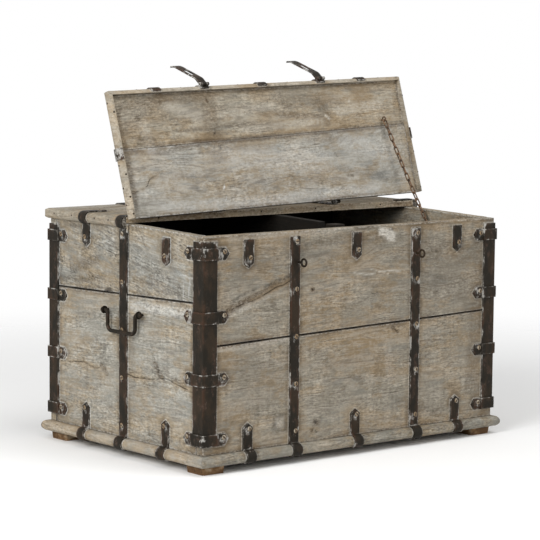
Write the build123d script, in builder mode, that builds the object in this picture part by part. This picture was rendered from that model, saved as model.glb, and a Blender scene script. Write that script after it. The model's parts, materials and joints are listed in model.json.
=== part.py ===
from build123d import *
import os
from math import atan, cos, degrees, radians, sin, tan

# Trunk coffee table of old planks, bound with flat iron. The rear half of the top is fixed,
# and the front half is a lid that leans back on its chain.
# Millimetres. X runs along the width, -Y is the front, Z is up, and the origin is the middle of the
# footprint on the floor. The lid and what it carries are drawn shut, then turned open.

# Wooden case
case_width = 800.0
case_depth = 530.0
wall_height = 435.0
wall_t = 22.0
rim_rise = 7.4
board_arris = 1.2
front_seam_shares = (0.4966, 0.5425)
side_seam_shares = (0.6943, 0.6713)
seam_gap = 1.6
bottom_t = 12.0
bottom_board_count = 4
board_gap = 0.6

# Feet and base moulding
foot_height = 16.0
foot_side = 58.0
foot_taper_deg = 8.0
foot_corner = 7.0
base_height = 23.0
base_overhang = 15.0
base_ledge = 20.0

# Fixed rear top and lid
top_t = 14.0
edging_height = 22.0
edging_corner = 9.0
lid_side_clearance = 1.0
lid_seat_gap = 2.6
lid_seam_left_share = 0.555
lid_seam_right_share = 0.613
hinge_slit = 1.5
slit_y = -8.0
hinge_rail_depth = 60.0

# Hinge line of the lid, a little out of square with the case, and how far it leans back
lid_open_deg = 107.8
hinge_y = -10.6
hinge_lift = 5.15
hinge_rise_deg = 0.476
hinge_skew_deg = 0.987

# Partition and post inside
partition_t = 18.0
partition_front_share = 0.585
post_side = 30.0
post_gap = 27.0

# Flat iron
iron_t = 2.5
iron_seat = 0.2
strap_w = 24.0
side_strap_w = 26.0
strap_x_share = 0.20875
tab_x_share = 0.36
back_strap_x_share = 0.265
iron_top_drop = 11.0
tab_length = 56.0
wrap_tab_drop = 50.0
base_tab_rise = 56.0
top_leaf_length = 52.0
lid_leaf_length = 62.0
edging_return = 7.0
tip_length = 9.0
side_tab_front_share = 0.23
side_tab_rear_share = 0.75

# Corner irons
angle_leg = 32.0
angle_rise = 24.0
bracket_wing = 62.0
bracket_height = 24.0
bracket_base_rise = 30.0
bracket_top_drop = 35.0
bracket_level_shares = (1.0, 0.6595, 0.3243, 0.0)
bracket_step = 0.3
bracket_round = 2.0

# Screws
head_r = 5.2
head_height = 1.8
head_rim = 0.7
slot_w = 1.3
slot_depth = 0.9
shank_r = 1.9
shank_length = 13.0
shank_clearance = 0.2
tip_inset = 16.0
strap_screw_drop = 25.0
strap_screw_rise = 22.8
strap_screw_count = 5
side_screw_drop = 18.0
side_screw_rise = 21.0
leaf_screw_shares = (0.42, 0.8)
lid_strap_screw_shares = (0.2, 0.5, 0.8)
screw_turn_deg = 37.0

# Lid hinges
knuckle_r = 3.5
knuckle_w = 7.4
knuckle_gap = 0.6
hinge_pin_r = 1.6
pin_clearance = 0.05
hinge_leaf_length = 78.0
hinge_web = 2.5

# Hasps and their staples
hasp_left_share = -0.2
hasp_w = 21.0
hasp_t = 2.5
hasp_knuckle_r = 3.8
hasp_knuckle_w = 12.0
hasp_ear_w = 5.5
hasp_ear_gap = 0.3
hasp_pin_r = 1.8
hasp_pivot_deg = 40.0
hasp_shut_deg = 146.0
hasp_heel = 24.0
hasp_heel_in = 5.4
hasp_shaft = 60.0
hasp_tip = 26.0
hasp_tip_out = 6.5
hasp_slot_w = 9.0
hasp_slot_length = 34.0
hasp_tip_round = 7.0
staple_drop = 63.0
staple_reach = 20.0
staple_ring_r = 7.4
staple_wire_r = 2.1
staple_shank_r = 2.5
staple_depth = 15.0

# Drop handles
bail_r = 4.0
bail_half = 47.5
bail_drop = 41.0
bail_corner = 13.0
bail_shoulder = 7.0
bail_end = 9.0
bail_y = -6.0
bail_knob_r = 5.6
handle_rise_share = 0.6
handle_standoff = 11.0
eye_wire_r = 2.0
eye_clearance = 0.3
eye_shank_r = 2.2
eye_depth = 15.0

# Lid chain and the two eyes that hold it
chain_links = 16
chain_wire_r = 1.5
link_inner_w = 6.6
link_slack = 0.3
chain_eye_r = 5.0
chain_eye_stand = 9.0
chain_eye_depth = 9.0
chain_inset = 43.5
chain_lid_share = 0.658
wall_eye_share = 0.34
wall_eye_drop = 29.0

# One overrun for every cut that runs past a face
overrun = 5.0

# Places worked out from the sizes above
half_w = case_width / 2
half_d = case_depth / 2
wall_z = foot_height + base_height
rim_z = wall_z + wall_height
back_rim_z = rim_z + rim_rise
top_z = back_rim_z + top_t
lid_top_z = rim_z + top_t
floor_z = wall_z + bottom_t
inner_w = half_w - wall_t
inner_d = half_d - wall_t
base_r = base_height / 2
edging_r = edging_height / 2
edging_z = top_z - edging_r
lid_edging_z = lid_top_z - edging_r
iron_top_z = rim_z - iron_top_drop
lid_under_z = rim_z + lid_seat_gap
lid_rear_y = slit_y - hinge_slit / 2
rail_front_y = slit_y + hinge_slit / 2
panel_half_w = half_w + lid_side_clearance
panel_front_y = -half_d - lid_side_clearance
panel_depth = panel_front_y - lid_rear_y
chain_x = inner_w - chain_inset
chain_y = lid_rear_y + panel_depth * chain_lid_share
wall_eye_y = -half_d * wall_eye_share
lid_front_y = -half_d - edging_r
bracket_span = wall_height - bracket_base_rise - bracket_top_drop
bracket_levels = [wall_z + bracket_base_rise + bracket_span * share for share in bracket_level_shares]
strap_x = case_width * strap_x_share
tab_x = case_width * tab_x_share
back_strap_x = case_width * back_strap_x_share
hasp_left_x = case_width * hasp_left_share
hasp_right_x = strap_x
partition_front_y = -half_d * partition_front_share
strap_screw_pitch = (wall_height - strap_screw_drop - strap_screw_rise) / (strap_screw_count - 1)
side_screw_pitch = (wall_height - side_screw_drop - side_screw_rise) / (strap_screw_count - 1)
side_strap_y = 0
side_wrap_y = (rail_front_y + side_strap_w / 2) / 2
side_tab_front_y = -half_d + side_tab_front_share * case_depth
side_tab_rear_y = -half_d + side_tab_rear_share * case_depth
top_seam_front_y = side_tab_rear_y + strap_w / 2 + board_gap
top_seam_rear_y = half_d - top_leaf_length - board_gap
handle_z = wall_z + wall_height * handle_rise_share
staple_z = rim_z - staple_drop
HASPS = {"left": hasp_left_x, "right": hasp_right_x}
SIDES = {"front": (0, -1), "back": (0, 1), "left": (-1, 0), "right": (1, 0)}

# The sides' rim rises from the front to the hinge, so the lid is drawn level on the front rim,
# tilted about it, and then turned open.
slope_axis = Axis((0, -half_d, rim_z), (1, 0, 0))
lid_slope_deg = degrees(atan(rim_rise / (half_d + slit_y)))
hinge_axis = Axis((0, hinge_y, top_z + hinge_lift),
                  (1, tan(radians(hinge_skew_deg)), tan(radians(hinge_rise_deg))))
hinge_end = Vertex(*(hinge_axis.position + hinge_axis.direction * case_width))
hinge_start_level = Vertex(*hinge_axis.position).rotate(slope_axis, -lid_slope_deg).center()
hinge_end_level = hinge_end.rotate(slope_axis, -lid_slope_deg).center()
level_axis = Axis(hinge_start_level, hinge_end_level - hinge_start_level)
hasp_reach = edging_r + iron_seat + iron_t + hasp_knuckle_r
hasp_y = -half_d - hasp_reach * cos(radians(hasp_pivot_deg))
hasp_z = lid_edging_z - hasp_reach * sin(radians(hasp_pivot_deg))

os.makedirs("parts", exist_ok=True)


def save(part, name):
    """Labels a finished piece and writes its file."""
    part.label = name
    export_step(part, f"parts/{name}.step")


def opened(part):
    """A piece of the lid, drawn level, tilted onto the rim and turned open about the hinge line."""
    return part.rotate(slope_axis, lid_slope_deg).rotate(hinge_axis, -lid_open_deg)


def rim_height(y):
    """Height of the sides' rim at a depth."""
    return rim_z + rim_rise * min(1, (y + half_d) / (half_d + slit_y))


# Planes on the case, used by the boards and by the iron on them


def wall_axes(side, along):
    """Outward direction, direction along the wall, and a point of its face at floor level."""
    nx, ny = SIDES[side]
    outward = Vector(nx, ny, 0)
    run = outward.cross(Vector(0, 0, 1))
    foot = Vector(nx * half_w, along, 0) if nx else Vector(along, ny * half_d, 0)
    return outward, run, foot


def section_plane(side, along):
    """Upright plane across a wall: x is the distance out from its face, y the height."""
    outward, run, foot = wall_axes(side, along)
    return Plane(origin=foot, x_dir=outward, z_dir=run)


def face_plane(side, along, height=0, out=0):
    """Plane on a wall's face, looking outward: x runs along the wall and y is up."""
    outward, run, foot = wall_axes(side, along)
    return Plane(origin=foot + outward * out + Vector(0, 0, height), x_dir=-run, z_dir=outward)


def top_plane(x, y, height):
    """Plane on the iron of a top face at a height, looking up."""
    return Plane.XY.offset(height + iron_seat + iron_t).move(Location((x, y, 0)))


# Screws: a low domed head with a slot, seated on the iron, over a shank in a drilled hole


def screw():
    """One screw: its head stands on the plane of the iron and its shank goes below it."""
    with BuildPart() as whole:
        with BuildSketch(Plane.XZ):
            with BuildLine():
                Polyline((0, head_height), (0, 0), (head_r, 0), (head_r, head_rim))
                RadiusArc((head_r, head_rim), (0, head_height), -head_r * head_r / head_height)
            make_face()
        revolve(axis=Axis.Z)
        with BuildSketch(Plane.XY.offset(head_height)):
            Rectangle(head_r + head_r, slot_w)
        extrude(amount=-slot_depth, mode=Mode.SUBTRACT)
        with BuildSketch(Plane.XY):
            Circle(shank_r)
        extrude(amount=-shank_length)
    return whole.part


def spread(piece, planes, turn=0):
    """Copies of a piece on planes, each turned a little further than the last."""
    spots = [plane.location * Rotation(0, 0, turn * i) for i, plane in enumerate(planes)]
    with BuildPart() as group:
        with Locations(*spots):
            add(piece)
    return group.part


def bits(planes, radius=shank_r + shank_clearance, depth=shank_length + shank_clearance):
    """What a drill takes away at each plane."""
    with BuildPart() as bit:
        with BuildSketch(Plane.XY.offset(overrun)):
            Circle(radius)
        extrude(amount=-overrun - depth)
    return spread(bit.part, planes)


def drilled(part, *holes):
    """A piece with its holes taken away."""
    with BuildPart() as result:
        add(part)
        for hole in holes:
            add(hole, mode=Mode.SUBTRACT)
    return result.part


strap_levels = [iron_top_z + iron_top_drop - strap_screw_drop - strap_screw_pitch * i
                for i in range(strap_screw_count)]
side_levels = [rim_z - side_screw_drop - side_screw_pitch * i for i in range(strap_screw_count)]
top_tab_level = iron_top_z - tab_length + tip_inset
wrap_tab_level = rim_z - wrap_tab_drop + tip_inset
base_tab_level = wall_z + base_tab_rise - tip_inset


def on_face(side, along, heights):
    """Screw planes up a wall, on the iron's face."""
    return [face_plane(side, along, height, iron_t) for height in heights]


front_strap_screws = {x: on_face("front", x, strap_levels) for x in (-strap_x, strap_x)}
front_tab_screws = [place for x in (-tab_x, 0, tab_x)
                    for place in on_face("front", x, (top_tab_level, base_tab_level))]
side_strap_screws = {side: on_face(side, side_strap_y, side_levels) for side in ("left", "right")}
side_tab_screws = {side: on_face(side, side_tab_front_y, (top_tab_level, base_tab_level))
                   + on_face(side, side_tab_rear_y, (wrap_tab_level, base_tab_level))
                   for side in ("left", "right")}
back_strap_screws = [place for x in (-back_strap_x, back_strap_x)
                     for place in on_face("back", x, side_levels)]


def bracket_screws(sx, sy):
    """Screw planes of the four brackets of one corner."""
    faces = (("left" if sx < 0 else "right", sy * (half_d - bracket_wing + tip_inset)),
             ("front" if sy < 0 else "back", sx * (half_w - bracket_wing + tip_inset)))
    return [place for side, along in faces for place in on_face(side, along, bracket_levels)]


CORNERS = {"front_left": (-1, -1), "front_right": (1, -1), "back_left": (-1, 1), "back_right": (1, 1)}
corner_screws = {name: bracket_screws(*signs) for name, signs in CORNERS.items()}
wall_screws = (sum(front_strap_screws.values(), []) + front_tab_screws
               + sum(side_strap_screws.values(), []) + sum(side_tab_screws.values(), [])
               + back_strap_screws + sum(corner_screws.values(), []))

hinge_leaf_screws = [top_plane(x, rail_front_y + hinge_leaf_length * share, top_z)
                     for x in HASPS.values() for share in leaf_screw_shares]
leaf_screw_x = half_w - top_leaf_length + tip_inset
top_leaf_screws = ([top_plane(sx * leaf_screw_x, y, top_z)
                    for sx in (-1, 1) for y in (side_tab_rear_y, side_wrap_y)]
                   + [top_plane(sx * back_strap_x, half_d - top_leaf_length + tip_inset, top_z)
                      for sx in (-1, 1)])
case_screw_places = wall_screws + hinge_leaf_screws + top_leaf_screws

lid_strap_screws = [top_plane(x, lid_rear_y + (lid_front_y - lid_rear_y) * share, lid_top_z)
                    for x in HASPS.values() for share in lid_strap_screw_shares]
clip_screw_x = half_w - lid_leaf_length + tip_inset
lid_clip_screws = ([top_plane(x, -half_d + lid_leaf_length - tip_inset, lid_top_z)
                    for x in (-tab_x, 0, tab_x)]
                   + [top_plane(sx * clip_screw_x, side_tab_front_y, lid_top_z) for sx in (-1, 1)])
lid_screw_places = lid_strap_screws + lid_clip_screws

wall_holes = bits(wall_screws)
top_holes = bits(hinge_leaf_screws + top_leaf_screws)
lid_holes = bits(lid_screw_places)

# Staples, handle eyes and chain eyes: a ring on a shank. Their shanks need holes too.
staple_planes = {name: face_plane("front", x, staple_z) for name, x in HASPS.items()}
eye_along = bail_half + bail_shoulder + bail_end / 2
handle_eye_planes = {side: [face_plane(side, bail_y + sign * eye_along, handle_z)
                            for sign in (-1, 1)]
                     for side in ("left", "right")}
lid_eye_plane = Plane(origin=(chain_x, chain_y, lid_under_z), x_dir=(1, 0, 0), z_dir=(0, 0, -1))
chain_start = opened(Vertex(*lid_eye_plane.offset(chain_eye_stand).origin)).center()
chain_end = Vector(inner_w - chain_eye_stand, wall_eye_y, rim_z - wall_eye_drop)
chain_run = chain_end - chain_start
wall_eye_plane = Plane(origin=(inner_w, wall_eye_y, rim_z - wall_eye_drop),
                       x_dir=Vector(1, 0, 0).cross(chain_run), z_dir=(-1, 0, 0))

eye_holes = [bits(list(staple_planes.values()), staple_shank_r + shank_clearance,
                  staple_depth + shank_clearance),
             bits(sum(handle_eye_planes.values(), []), eye_shank_r + shank_clearance,
                  eye_depth + shank_clearance),
             bits([wall_eye_plane], chain_wire_r + shank_clearance, chain_eye_depth + shank_clearance)]


def ring_eye(plane, reach, ring_r, wire_r, wall_r, depth):
    """Ring on a shank that goes into the wood at a plane; the plane's x is the ring's own axis."""
    centre = plane.offset(reach)
    with BuildPart() as eye:
        with BuildSketch(plane.offset(-depth)):
            Circle(wall_r)
        extrude(amount=depth + reach - ring_r)
        with BuildSketch(Plane(origin=centre.origin, x_dir=centre.z_dir, z_dir=centre.y_dir)):
            with Locations((ring_r, 0)):
                Circle(wire_r)
        revolve(axis=Axis(centre.origin, centre.x_dir))
    return eye.part


# Boards of the four walls, with the seam between them a little out of level


def wall_board(side, outline):
    """One plank of a wall, from its outline in the wall's plane."""
    nx, ny = SIDES[side]
    plane = Plane.YZ.offset(nx * inner_w) if nx else Plane.XZ.offset(-ny * inner_d)
    with BuildPart() as plank:
        with BuildSketch(plane):
            with BuildLine():
                Polyline(*outline, close=True)
            make_face()
        extrude(amount=(nx - ny) * wall_t)
        fillet(plank.edges(), radius=board_arris)
    return drilled(plank.part, wall_holes, *eye_holes)


def wall(side, half, seam, rim):
    """Two planks of a wall, to half to each side of its middle.

    seam is the seam's height at both ends as shares of the wall's, and rim the points of the upper
    edge, last end first.
    """
    gap = seam_gap / 2
    first, last = [wall_z + wall_height * share for share in seam]
    save(wall_board(side, [(-half, wall_z), (half, wall_z), (half, last - gap), (-half, first - gap)]),
         f"{side}_board_lower")
    save(wall_board(side, [(-half, first + gap), (half, last + gap), *rim]), f"{side}_board_upper")


side_rim = [(inner_d, back_rim_z), (slit_y, back_rim_z), (-inner_d, rim_height(-inner_d))]
wall("front", half_w, front_seam_shares, [(half_w, rim_z), (-half_w, rim_z)])
wall("back", half_w, front_seam_shares, [(half_w, back_rim_z), (-half_w, back_rim_z)])
wall("left", inner_d, side_seam_shares, side_rim)
wall("right", inner_d, side_seam_shares, side_rim)


def board(low, high, arris=board_arris):
    """Plain board between two corners, with its edges eased."""
    size = [b - a for a, b in zip(low, high)]
    with BuildPart() as plank:
        with BuildSketch(Plane.XY.offset(low[2])):
            with Locations((low[0] + size[0] / 2, low[1] + size[1] / 2)):
                Rectangle(size[0], size[1])
        extrude(amount=size[2])
        fillet(plank.edges(), radius=arris)
    return plank.part


def bottom():
    """Boards of the floor, side by side on the moulding's ledge."""
    step = (inner_d + inner_d) / bottom_board_count
    with BuildPart() as floor:
        for i in range(bottom_board_count):
            y = -inner_d + step * i
            add(board((-inner_w + board_gap, y + board_gap / 2, wall_z),
                      (inner_w - board_gap, y + step - board_gap / 2, floor_z)))
    return floor.part


save(bottom(), "bottom_boards")


# Base moulding: four mitred lengths with a half-round nose, under the walls


def plan_point(side, along, out):
    """Point in plan at a distance along a wall from its middle and out from its face."""
    nx, ny = SIDES[side]
    return (nx * (half_w + out), along) if nx else (along, ny * (half_d + out))


def mitred(side, back, nose_r, nose_z, flat, corner=0):
    """Half-round moulding along a side, mitred at 45 degrees at both ends.

    back is how far it goes in behind the wall's face, flat how far its straight part stands out, and
    corner the rounding of the two corners in plan.
    """
    half = half_d if SIDES[side][0] else half_w
    reach = flat + nose_r
    height = nose_r + nose_r
    with BuildPart() as piece:
        with BuildSketch(section_plane(side, 0)):
            with Locations((flat, nose_z)):
                Circle(nose_r)
                Rectangle(flat + back + nose_r, height, align=(Align.MAX, Align.CENTER))
            with Locations((-back, nose_z)):
                Rectangle(height, height + nose_r, align=(Align.MAX, Align.CENTER), mode=Mode.SUBTRACT)
        extrude(amount=half + reach, both=True)
        with BuildSketch(Plane.XY.offset(nose_z)):
            with BuildLine():
                Polyline(*[plan_point(side, along, out) for along, out in
                           ((-half - reach, reach), (half + reach, reach),
                            (half - back, -back), (back - half, -back))], close=True)
            make_face()
        extrude(amount=nose_r, both=True, mode=Mode.INTERSECT)
        if corner:
            with BuildSketch(Plane.XY.offset(nose_z)):
                RectangleRounded(case_width + reach + reach, case_depth + reach + reach, corner)
            extrude(amount=nose_r, both=True, mode=Mode.INTERSECT)
    return piece.part


for side in SIDES:
    save(mitred(side, wall_t + base_ledge, base_r, foot_height + base_r, base_overhang - base_r),
         f"base_moulding_{side}")


def feet():
    """Four tapered blocks, flush with the walls' faces."""
    with BuildPart() as blocks:
        for sx, sy in CORNERS.values():
            with BuildSketch(Plane.XY.offset(foot_height)):
                with Locations((sx * (half_w - foot_side / 2), sy * (half_d - foot_side / 2))):
                    RectangleRounded(foot_side, foot_side, foot_corner)
            extrude(amount=-foot_height, taper=foot_taper_deg)
    return blocks.part


save(feet(), "feet")


# Fixed rear top: boards, hinge rail and half-round edging that hangs over the rim


def edging(side, height, start_y, end_y, clearance=0):
    """Half-round edging along a side of the top, centred at a height and kept between two Y values.

    clearance leaves room between it and the wall below, for the edging that moves.
    """
    with BuildPart() as strip:
        add(mitred(side, 0, edging_r, height, 0, edging_corner))
        with BuildSketch(Plane.XY.offset(height)):
            with Locations((0, (start_y + end_y) / 2)):
                Rectangle(case_width + edging_height + overrun, end_y - start_y)
        extrude(amount=edging_height, both=True, mode=Mode.INTERSECT)
        if clearance:
            with BuildSketch(Plane.XY.offset(height)):
                Rectangle(case_width + clearance + clearance, case_depth + clearance + clearance)
            extrude(amount=edging_height, both=True, mode=Mode.SUBTRACT)
    return strip.part


for side in ("left", "right", "back"):
    save(edging(side, edging_z, rail_front_y, half_d + edging_height), f"rear_top_edging_{side}")


def rear_boards():
    """Three boards behind the hinge rail. No iron lies on the middle one."""
    seams = (rail_front_y + hinge_rail_depth, top_seam_front_y, top_seam_rear_y, half_d)
    with BuildPart() as boards:
        for start, end in zip(seams, seams[1:]):
            add(board((-half_w, start + board_gap, back_rim_z), (half_w, end, top_z)))
    return boards.part


save(drilled(rear_boards(), top_holes), "rear_top_boards")
rail = board((-half_w, rail_front_y, back_rim_z), (half_w, rail_front_y + hinge_rail_depth, top_z))
save(drilled(rail, top_holes), "hinge_rail")

post_front_y = partition_front_y - post_gap - post_side
save(board((-post_side / 2, post_front_y, floor_z),
           (post_side / 2, post_front_y + post_side, rim_height(post_front_y))), "centre_post")

with BuildPart() as partition:
    with BuildSketch(Plane.YZ.offset(-partition_t / 2)):
        with BuildLine():
            Polyline((partition_front_y, floor_z), (inner_d, floor_z), (inner_d, back_rim_z),
                     (slit_y, back_rim_z), (partition_front_y, rim_height(partition_front_y)),
                     close=True)
        make_face()
    extrude(amount=partition_t)
    fillet(partition.edges(), radius=board_arris)
save(partition.part, "centre_partition")


# Flat iron on the walls. A strap can wrap the base moulding, the top's edging, or both.


def pointed(plane, low, high, width, low_tip=False, high_tip=False):
    """Outline of a strap on a wall's face, pointed where asked, as a prism through the wall."""
    half = width / 2
    with BuildPart() as prism:
        with BuildSketch(plane):
            with BuildLine():
                start = [(-half, low + tip_length), (0, low), (half, low + tip_length)]
                end = [(half, high - tip_length), (0, high), (-half, high - tip_length)]
                Polyline(*(start if low_tip else [(-half, low), (half, low)]),
                         *(end if high_tip else [(half, high), (-half, high)]), close=True)
            make_face()
        extrude(amount=half_w / 2, both=True)
    return prism.part


def wall_iron(side, along, low=None, high=None, base=False, top=0, width=strap_w):
    """Strap or tab on a wall. base wraps the moulding, top is its length on the top face.

    low and high are the heights of its free ends, which are pointed unless high is the rim's iron line.
    """
    section = section_plane(side, along)
    start = wall_z + iron_seat if base else low
    stop = edging_z - edging_r - iron_seat if top else high
    nose = base_overhang - base_r
    outer = iron_seat + iron_t
    with BuildPart() as strap:
        with BuildSketch(section):
            if base:
                with Locations((nose, foot_height + base_r)):
                    Circle(base_r + outer)
                with Locations((nose / 2, foot_height + base_r)):
                    Rectangle(nose, base_height + outer + outer)
                with Locations((nose, foot_height + base_r)):
                    Circle(base_r + iron_seat, mode=Mode.SUBTRACT)
                with Locations((nose / 2, foot_height + base_r)):
                    Rectangle(nose, base_height + iron_seat + iron_seat, mode=Mode.SUBTRACT)
                with Locations((-base_height / 2, foot_height + base_r)):
                    Rectangle(base_height, base_height + base_height, mode=Mode.SUBTRACT)
            if top:
                with BuildSketch(section, mode=Mode.PRIVATE) as hoop:
                    with Locations((0, edging_z)):
                        Circle(edging_r + outer)
                        Circle(edging_r + iron_seat, mode=Mode.SUBTRACT)
                    with Locations((-edging_height / 2, edging_z)):
                        Rectangle(edging_height, edging_height + edging_height, mode=Mode.SUBTRACT)
                    with Locations((-top / 2, top_z + iron_seat + iron_t / 2)):
                        Rectangle(top, iron_t)
                add(hoop.sketch_local)
            with Locations((iron_t / 2, (start + stop) / 2)):
                Rectangle(iron_t, stop - start)
        extrude(amount=width / 2, both=True)
        bottom_tip = low is not None and not base
        top_tip = high is not None and base and not top and high < iron_top_z
        add(pointed(face_plane(side, along), low if bottom_tip else 0,
                    high if not top else top_z + edging_height, width, bottom_tip, top_tip),
            mode=Mode.INTERSECT)
        if top:
            end = Plane(origin=section.origin + Vector(0, 0, top_z) - section.x_dir * top,
                        x_dir=section.z_dir, z_dir=(0, 0, 1))
            with BuildSketch(end):
                for sign in (-1, 1):
                    inward = -1 if end.y_dir.dot(section.x_dir) > 0 else 1
                    with BuildLine():
                        Polyline((0, 0), (sign * width / 2, 0),
                                 (sign * width / 2, -inward * tip_length), close=True)
                    make_face()
            extrude(amount=outer + overrun, both=True, mode=Mode.SUBTRACT)
    return strap.part


for name, x in (("left", -strap_x), ("right", strap_x)):
    strap = wall_iron("front", x, high=iron_top_z, base=True)
    save(drilled(strap, bits(front_strap_screws[x]), eye_holes[0]), f"front_strap_{name}")


def merged(parts):
    """Several pieces of one kind as a group."""
    with BuildPart() as group:
        for part in parts:
            add(part)
    return group.part


front_tabs = merged([wall_iron("front", x, low=iron_top_z - tab_length, high=iron_top_z)
                     for x in (-tab_x, 0, tab_x)]
                    + [wall_iron("front", x, high=wall_z + base_tab_rise, base=True)
                       for x in (-tab_x, 0, tab_x)])
save(drilled(front_tabs, wall_holes), "front_tabs")

with BuildPart() as room:
    with BuildSketch(Plane.XY.offset(iron_top_z)):
        with Locations((0, rail_front_y)):
            Rectangle(case_width + case_width, case_depth, align=(Align.CENTER, Align.MAX))
    extrude(amount=case_depth)
lid_room = room.part

for side in ("left", "right"):
    strap = wall_iron(side, side_strap_y, base=True, top=top_leaf_length, width=side_strap_w)
    save(drilled(strap, wall_holes, top_holes, lid_room), f"side_strap_{side}")
    tabs = merged([wall_iron(side, side_tab_front_y, low=iron_top_z - tab_length, high=iron_top_z),
                   wall_iron(side, side_tab_rear_y, low=rim_z - wrap_tab_drop, top=top_leaf_length),
                   wall_iron(side, side_tab_front_y, high=wall_z + base_tab_rise, base=True),
                   wall_iron(side, side_tab_rear_y, high=wall_z + base_tab_rise, base=True)])
    save(drilled(tabs, wall_holes, top_holes), f"side_tabs_{side}")

back_straps = merged([wall_iron("back", x, base=True, top=top_leaf_length)
                      for x in (-back_strap_x, back_strap_x)])
save(drilled(back_straps, wall_holes, top_holes), "back_straps")


# Corner irons: an angle up each corner, and four pointed brackets over it


def corner_point(signs, a, b):
    """Plan point a inward from the corner along X and b along Y."""
    return signs[0] * (half_w - a), signs[1] * (half_d - b)


def corner_angle(signs):
    """Angle iron up one corner."""
    points = [(0, 0), (angle_leg, 0), (angle_leg, -iron_t), (-iron_t, -iron_t),
              (-iron_t, angle_leg), (0, angle_leg)]
    with BuildPart() as angle:
        with BuildSketch(Plane.XY.offset(wall_z + angle_rise)):
            with BuildLine():
                Polyline(*[corner_point(signs, *p) for p in points], close=True)
            make_face()
        extrude(amount=iron_top_z - wall_z - angle_rise)
        corner = corner_point(signs, -iron_t, -iron_t)
        edge = angle.edges().filter_by(Axis.Z).sort_by_distance((*corner, (iron_top_z + wall_z) / 2))[0]
        fillet(edge, radius=bracket_round)
    return angle.part


def corner_bracket(signs, level):
    """Pointed bracket that steps over the angle and wraps the corner."""
    step = angle_leg + bracket_step
    rest = iron_t + iron_seat
    outer = rest + iron_t
    inner_path = [(bracket_wing, 0), (step, 0), (step, -rest), (-rest, -rest), (-rest, step),
                  (0, step), (0, bracket_wing)]
    outer_path = [(-iron_t, bracket_wing), (-iron_t, step + iron_t), (-outer, step + iron_t),
                  (-outer, -outer), (step + iron_t, -outer), (step + iron_t, -iron_t),
                  (bracket_wing, -iron_t)]
    half = bracket_height / 2
    with BuildPart() as bracket:
        with BuildSketch(Plane.XY.offset(level - half)):
            with BuildLine():
                Polyline(*[corner_point(signs, *p) for p in inner_path + outer_path], close=True)
            make_face()
        extrude(amount=bracket_height)
        corner = corner_point(signs, -outer, -outer)
        edge = bracket.edges().filter_by(Axis.Z).sort_by_distance((*corner, level))[0]
        fillet(edge, radius=bracket_round)
        faces = (("left" if signs[0] < 0 else "right", signs[1] * (half_d - bracket_wing), signs[1]),
                 ("front" if signs[1] < 0 else "back", signs[0] * (half_w - bracket_wing), signs[0]))
        for side, along, inward in faces:
            plane = face_plane(side, along, level)
            toward = Vector(0, inward, 0) if SIDES[side][0] else Vector(inward, 0, 0)
            reach = tip_length if plane.x_dir.dot(toward) > 0 else -tip_length
            with BuildSketch(plane):
                for sign in (-1, 1):
                    with BuildLine():
                        Polyline((0, 0), (0, sign * half), (reach, sign * half), close=True)
                    make_face()
            extrude(amount=outer, both=True, mode=Mode.SUBTRACT)
    return bracket.part


for name, signs in CORNERS.items():
    save(corner_angle(signs), f"corner_angle_{name}")
    brackets = merged([corner_bracket(signs, level) for level in bracket_levels])
    save(drilled(brackets, bits(corner_screws[name])), f"corner_brackets_{name}")


# Hasp staples and drop handles

for name, plane in staple_planes.items():
    save(ring_eye(plane, staple_reach, staple_ring_r, staple_wire_r, staple_shank_r, staple_depth),
         f"hasp_staple_{name}")


def bail(side):
    """Round bar handle: two arms down to a grip, with its ends turned out through the eyes."""
    plane = face_plane(side, bail_y, handle_z, handle_standoff)
    end = bail_half + bail_shoulder + bail_end
    with BuildPart() as handle:
        with BuildLine(plane) as path:
            Line((-end, 0), (-bail_half - bail_shoulder, 0))
            RadiusArc((-bail_half - bail_shoulder, 0), (-bail_half, -bail_shoulder), bail_shoulder)
            Line((-bail_half, -bail_shoulder), (-bail_half, -bail_drop + bail_corner))
            RadiusArc((-bail_half, -bail_drop + bail_corner), (-bail_half + bail_corner, -bail_drop),
                      -bail_corner)
            Line((-bail_half + bail_corner, -bail_drop), (bail_half - bail_corner, -bail_drop))
            RadiusArc((bail_half - bail_corner, -bail_drop), (bail_half, -bail_drop + bail_corner),
                      -bail_corner)
            Line((bail_half, -bail_drop + bail_corner), (bail_half, -bail_shoulder))
            RadiusArc((bail_half, -bail_shoulder), (bail_half + bail_shoulder, 0), bail_shoulder)
            Line((bail_half + bail_shoulder, 0), (end, 0))
        with BuildSketch(Plane(origin=path.line @ 0, z_dir=path.line % 0)):
            Circle(bail_r)
        sweep()
        reach = end + bail_knob_r + overrun
        with BuildSketch(plane):
            with Locations((-end, 0), (end, 0)):
                Circle(bail_knob_r)
            Rectangle(reach + reach, bail_knob_r + bail_knob_r, align=(Align.CENTER, Align.MAX),
                      mode=Mode.SUBTRACT)
        revolve(axis=Axis(plane.origin, plane.x_dir))
    return handle.part


for side in ("left", "right"):
    save(bail(side), f"handle_{side}")
    ring_r = bail_r + eye_clearance + eye_wire_r
    save(merged([ring_eye(plane, handle_standoff, ring_r, eye_wire_r, eye_shank_r, eye_depth)
                 for plane in handle_eye_planes[side]]), f"handle_eyes_{side}")


# Lid hinges: a barrel on the hinge line, its leaves on the top, and a pin


def barrel_plane(axis, x, shift=0):
    """Plane square to the hinge line at a place along it, looking along it."""
    at = axis.position + axis.direction * ((x + shift) / axis.direction.X)
    return Plane(origin=at, x_dir=Vector(0, 1, 0) - axis.direction * axis.direction.Y,
                 z_dir=axis.direction)


def barrel(axis, x, shift, length, radius):
    """Round length on the hinge line, centred at a shift from x."""
    with BuildPart() as round_bar:
        with BuildSketch(barrel_plane(axis, x, shift)):
            Circle(radius)
        extrude(amount=length / 2, both=True)
    return round_bar.part


knuckle_step = knuckle_w + knuckle_gap
hinge_pin_length = knuckle_step + knuckle_step + knuckle_w


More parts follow.
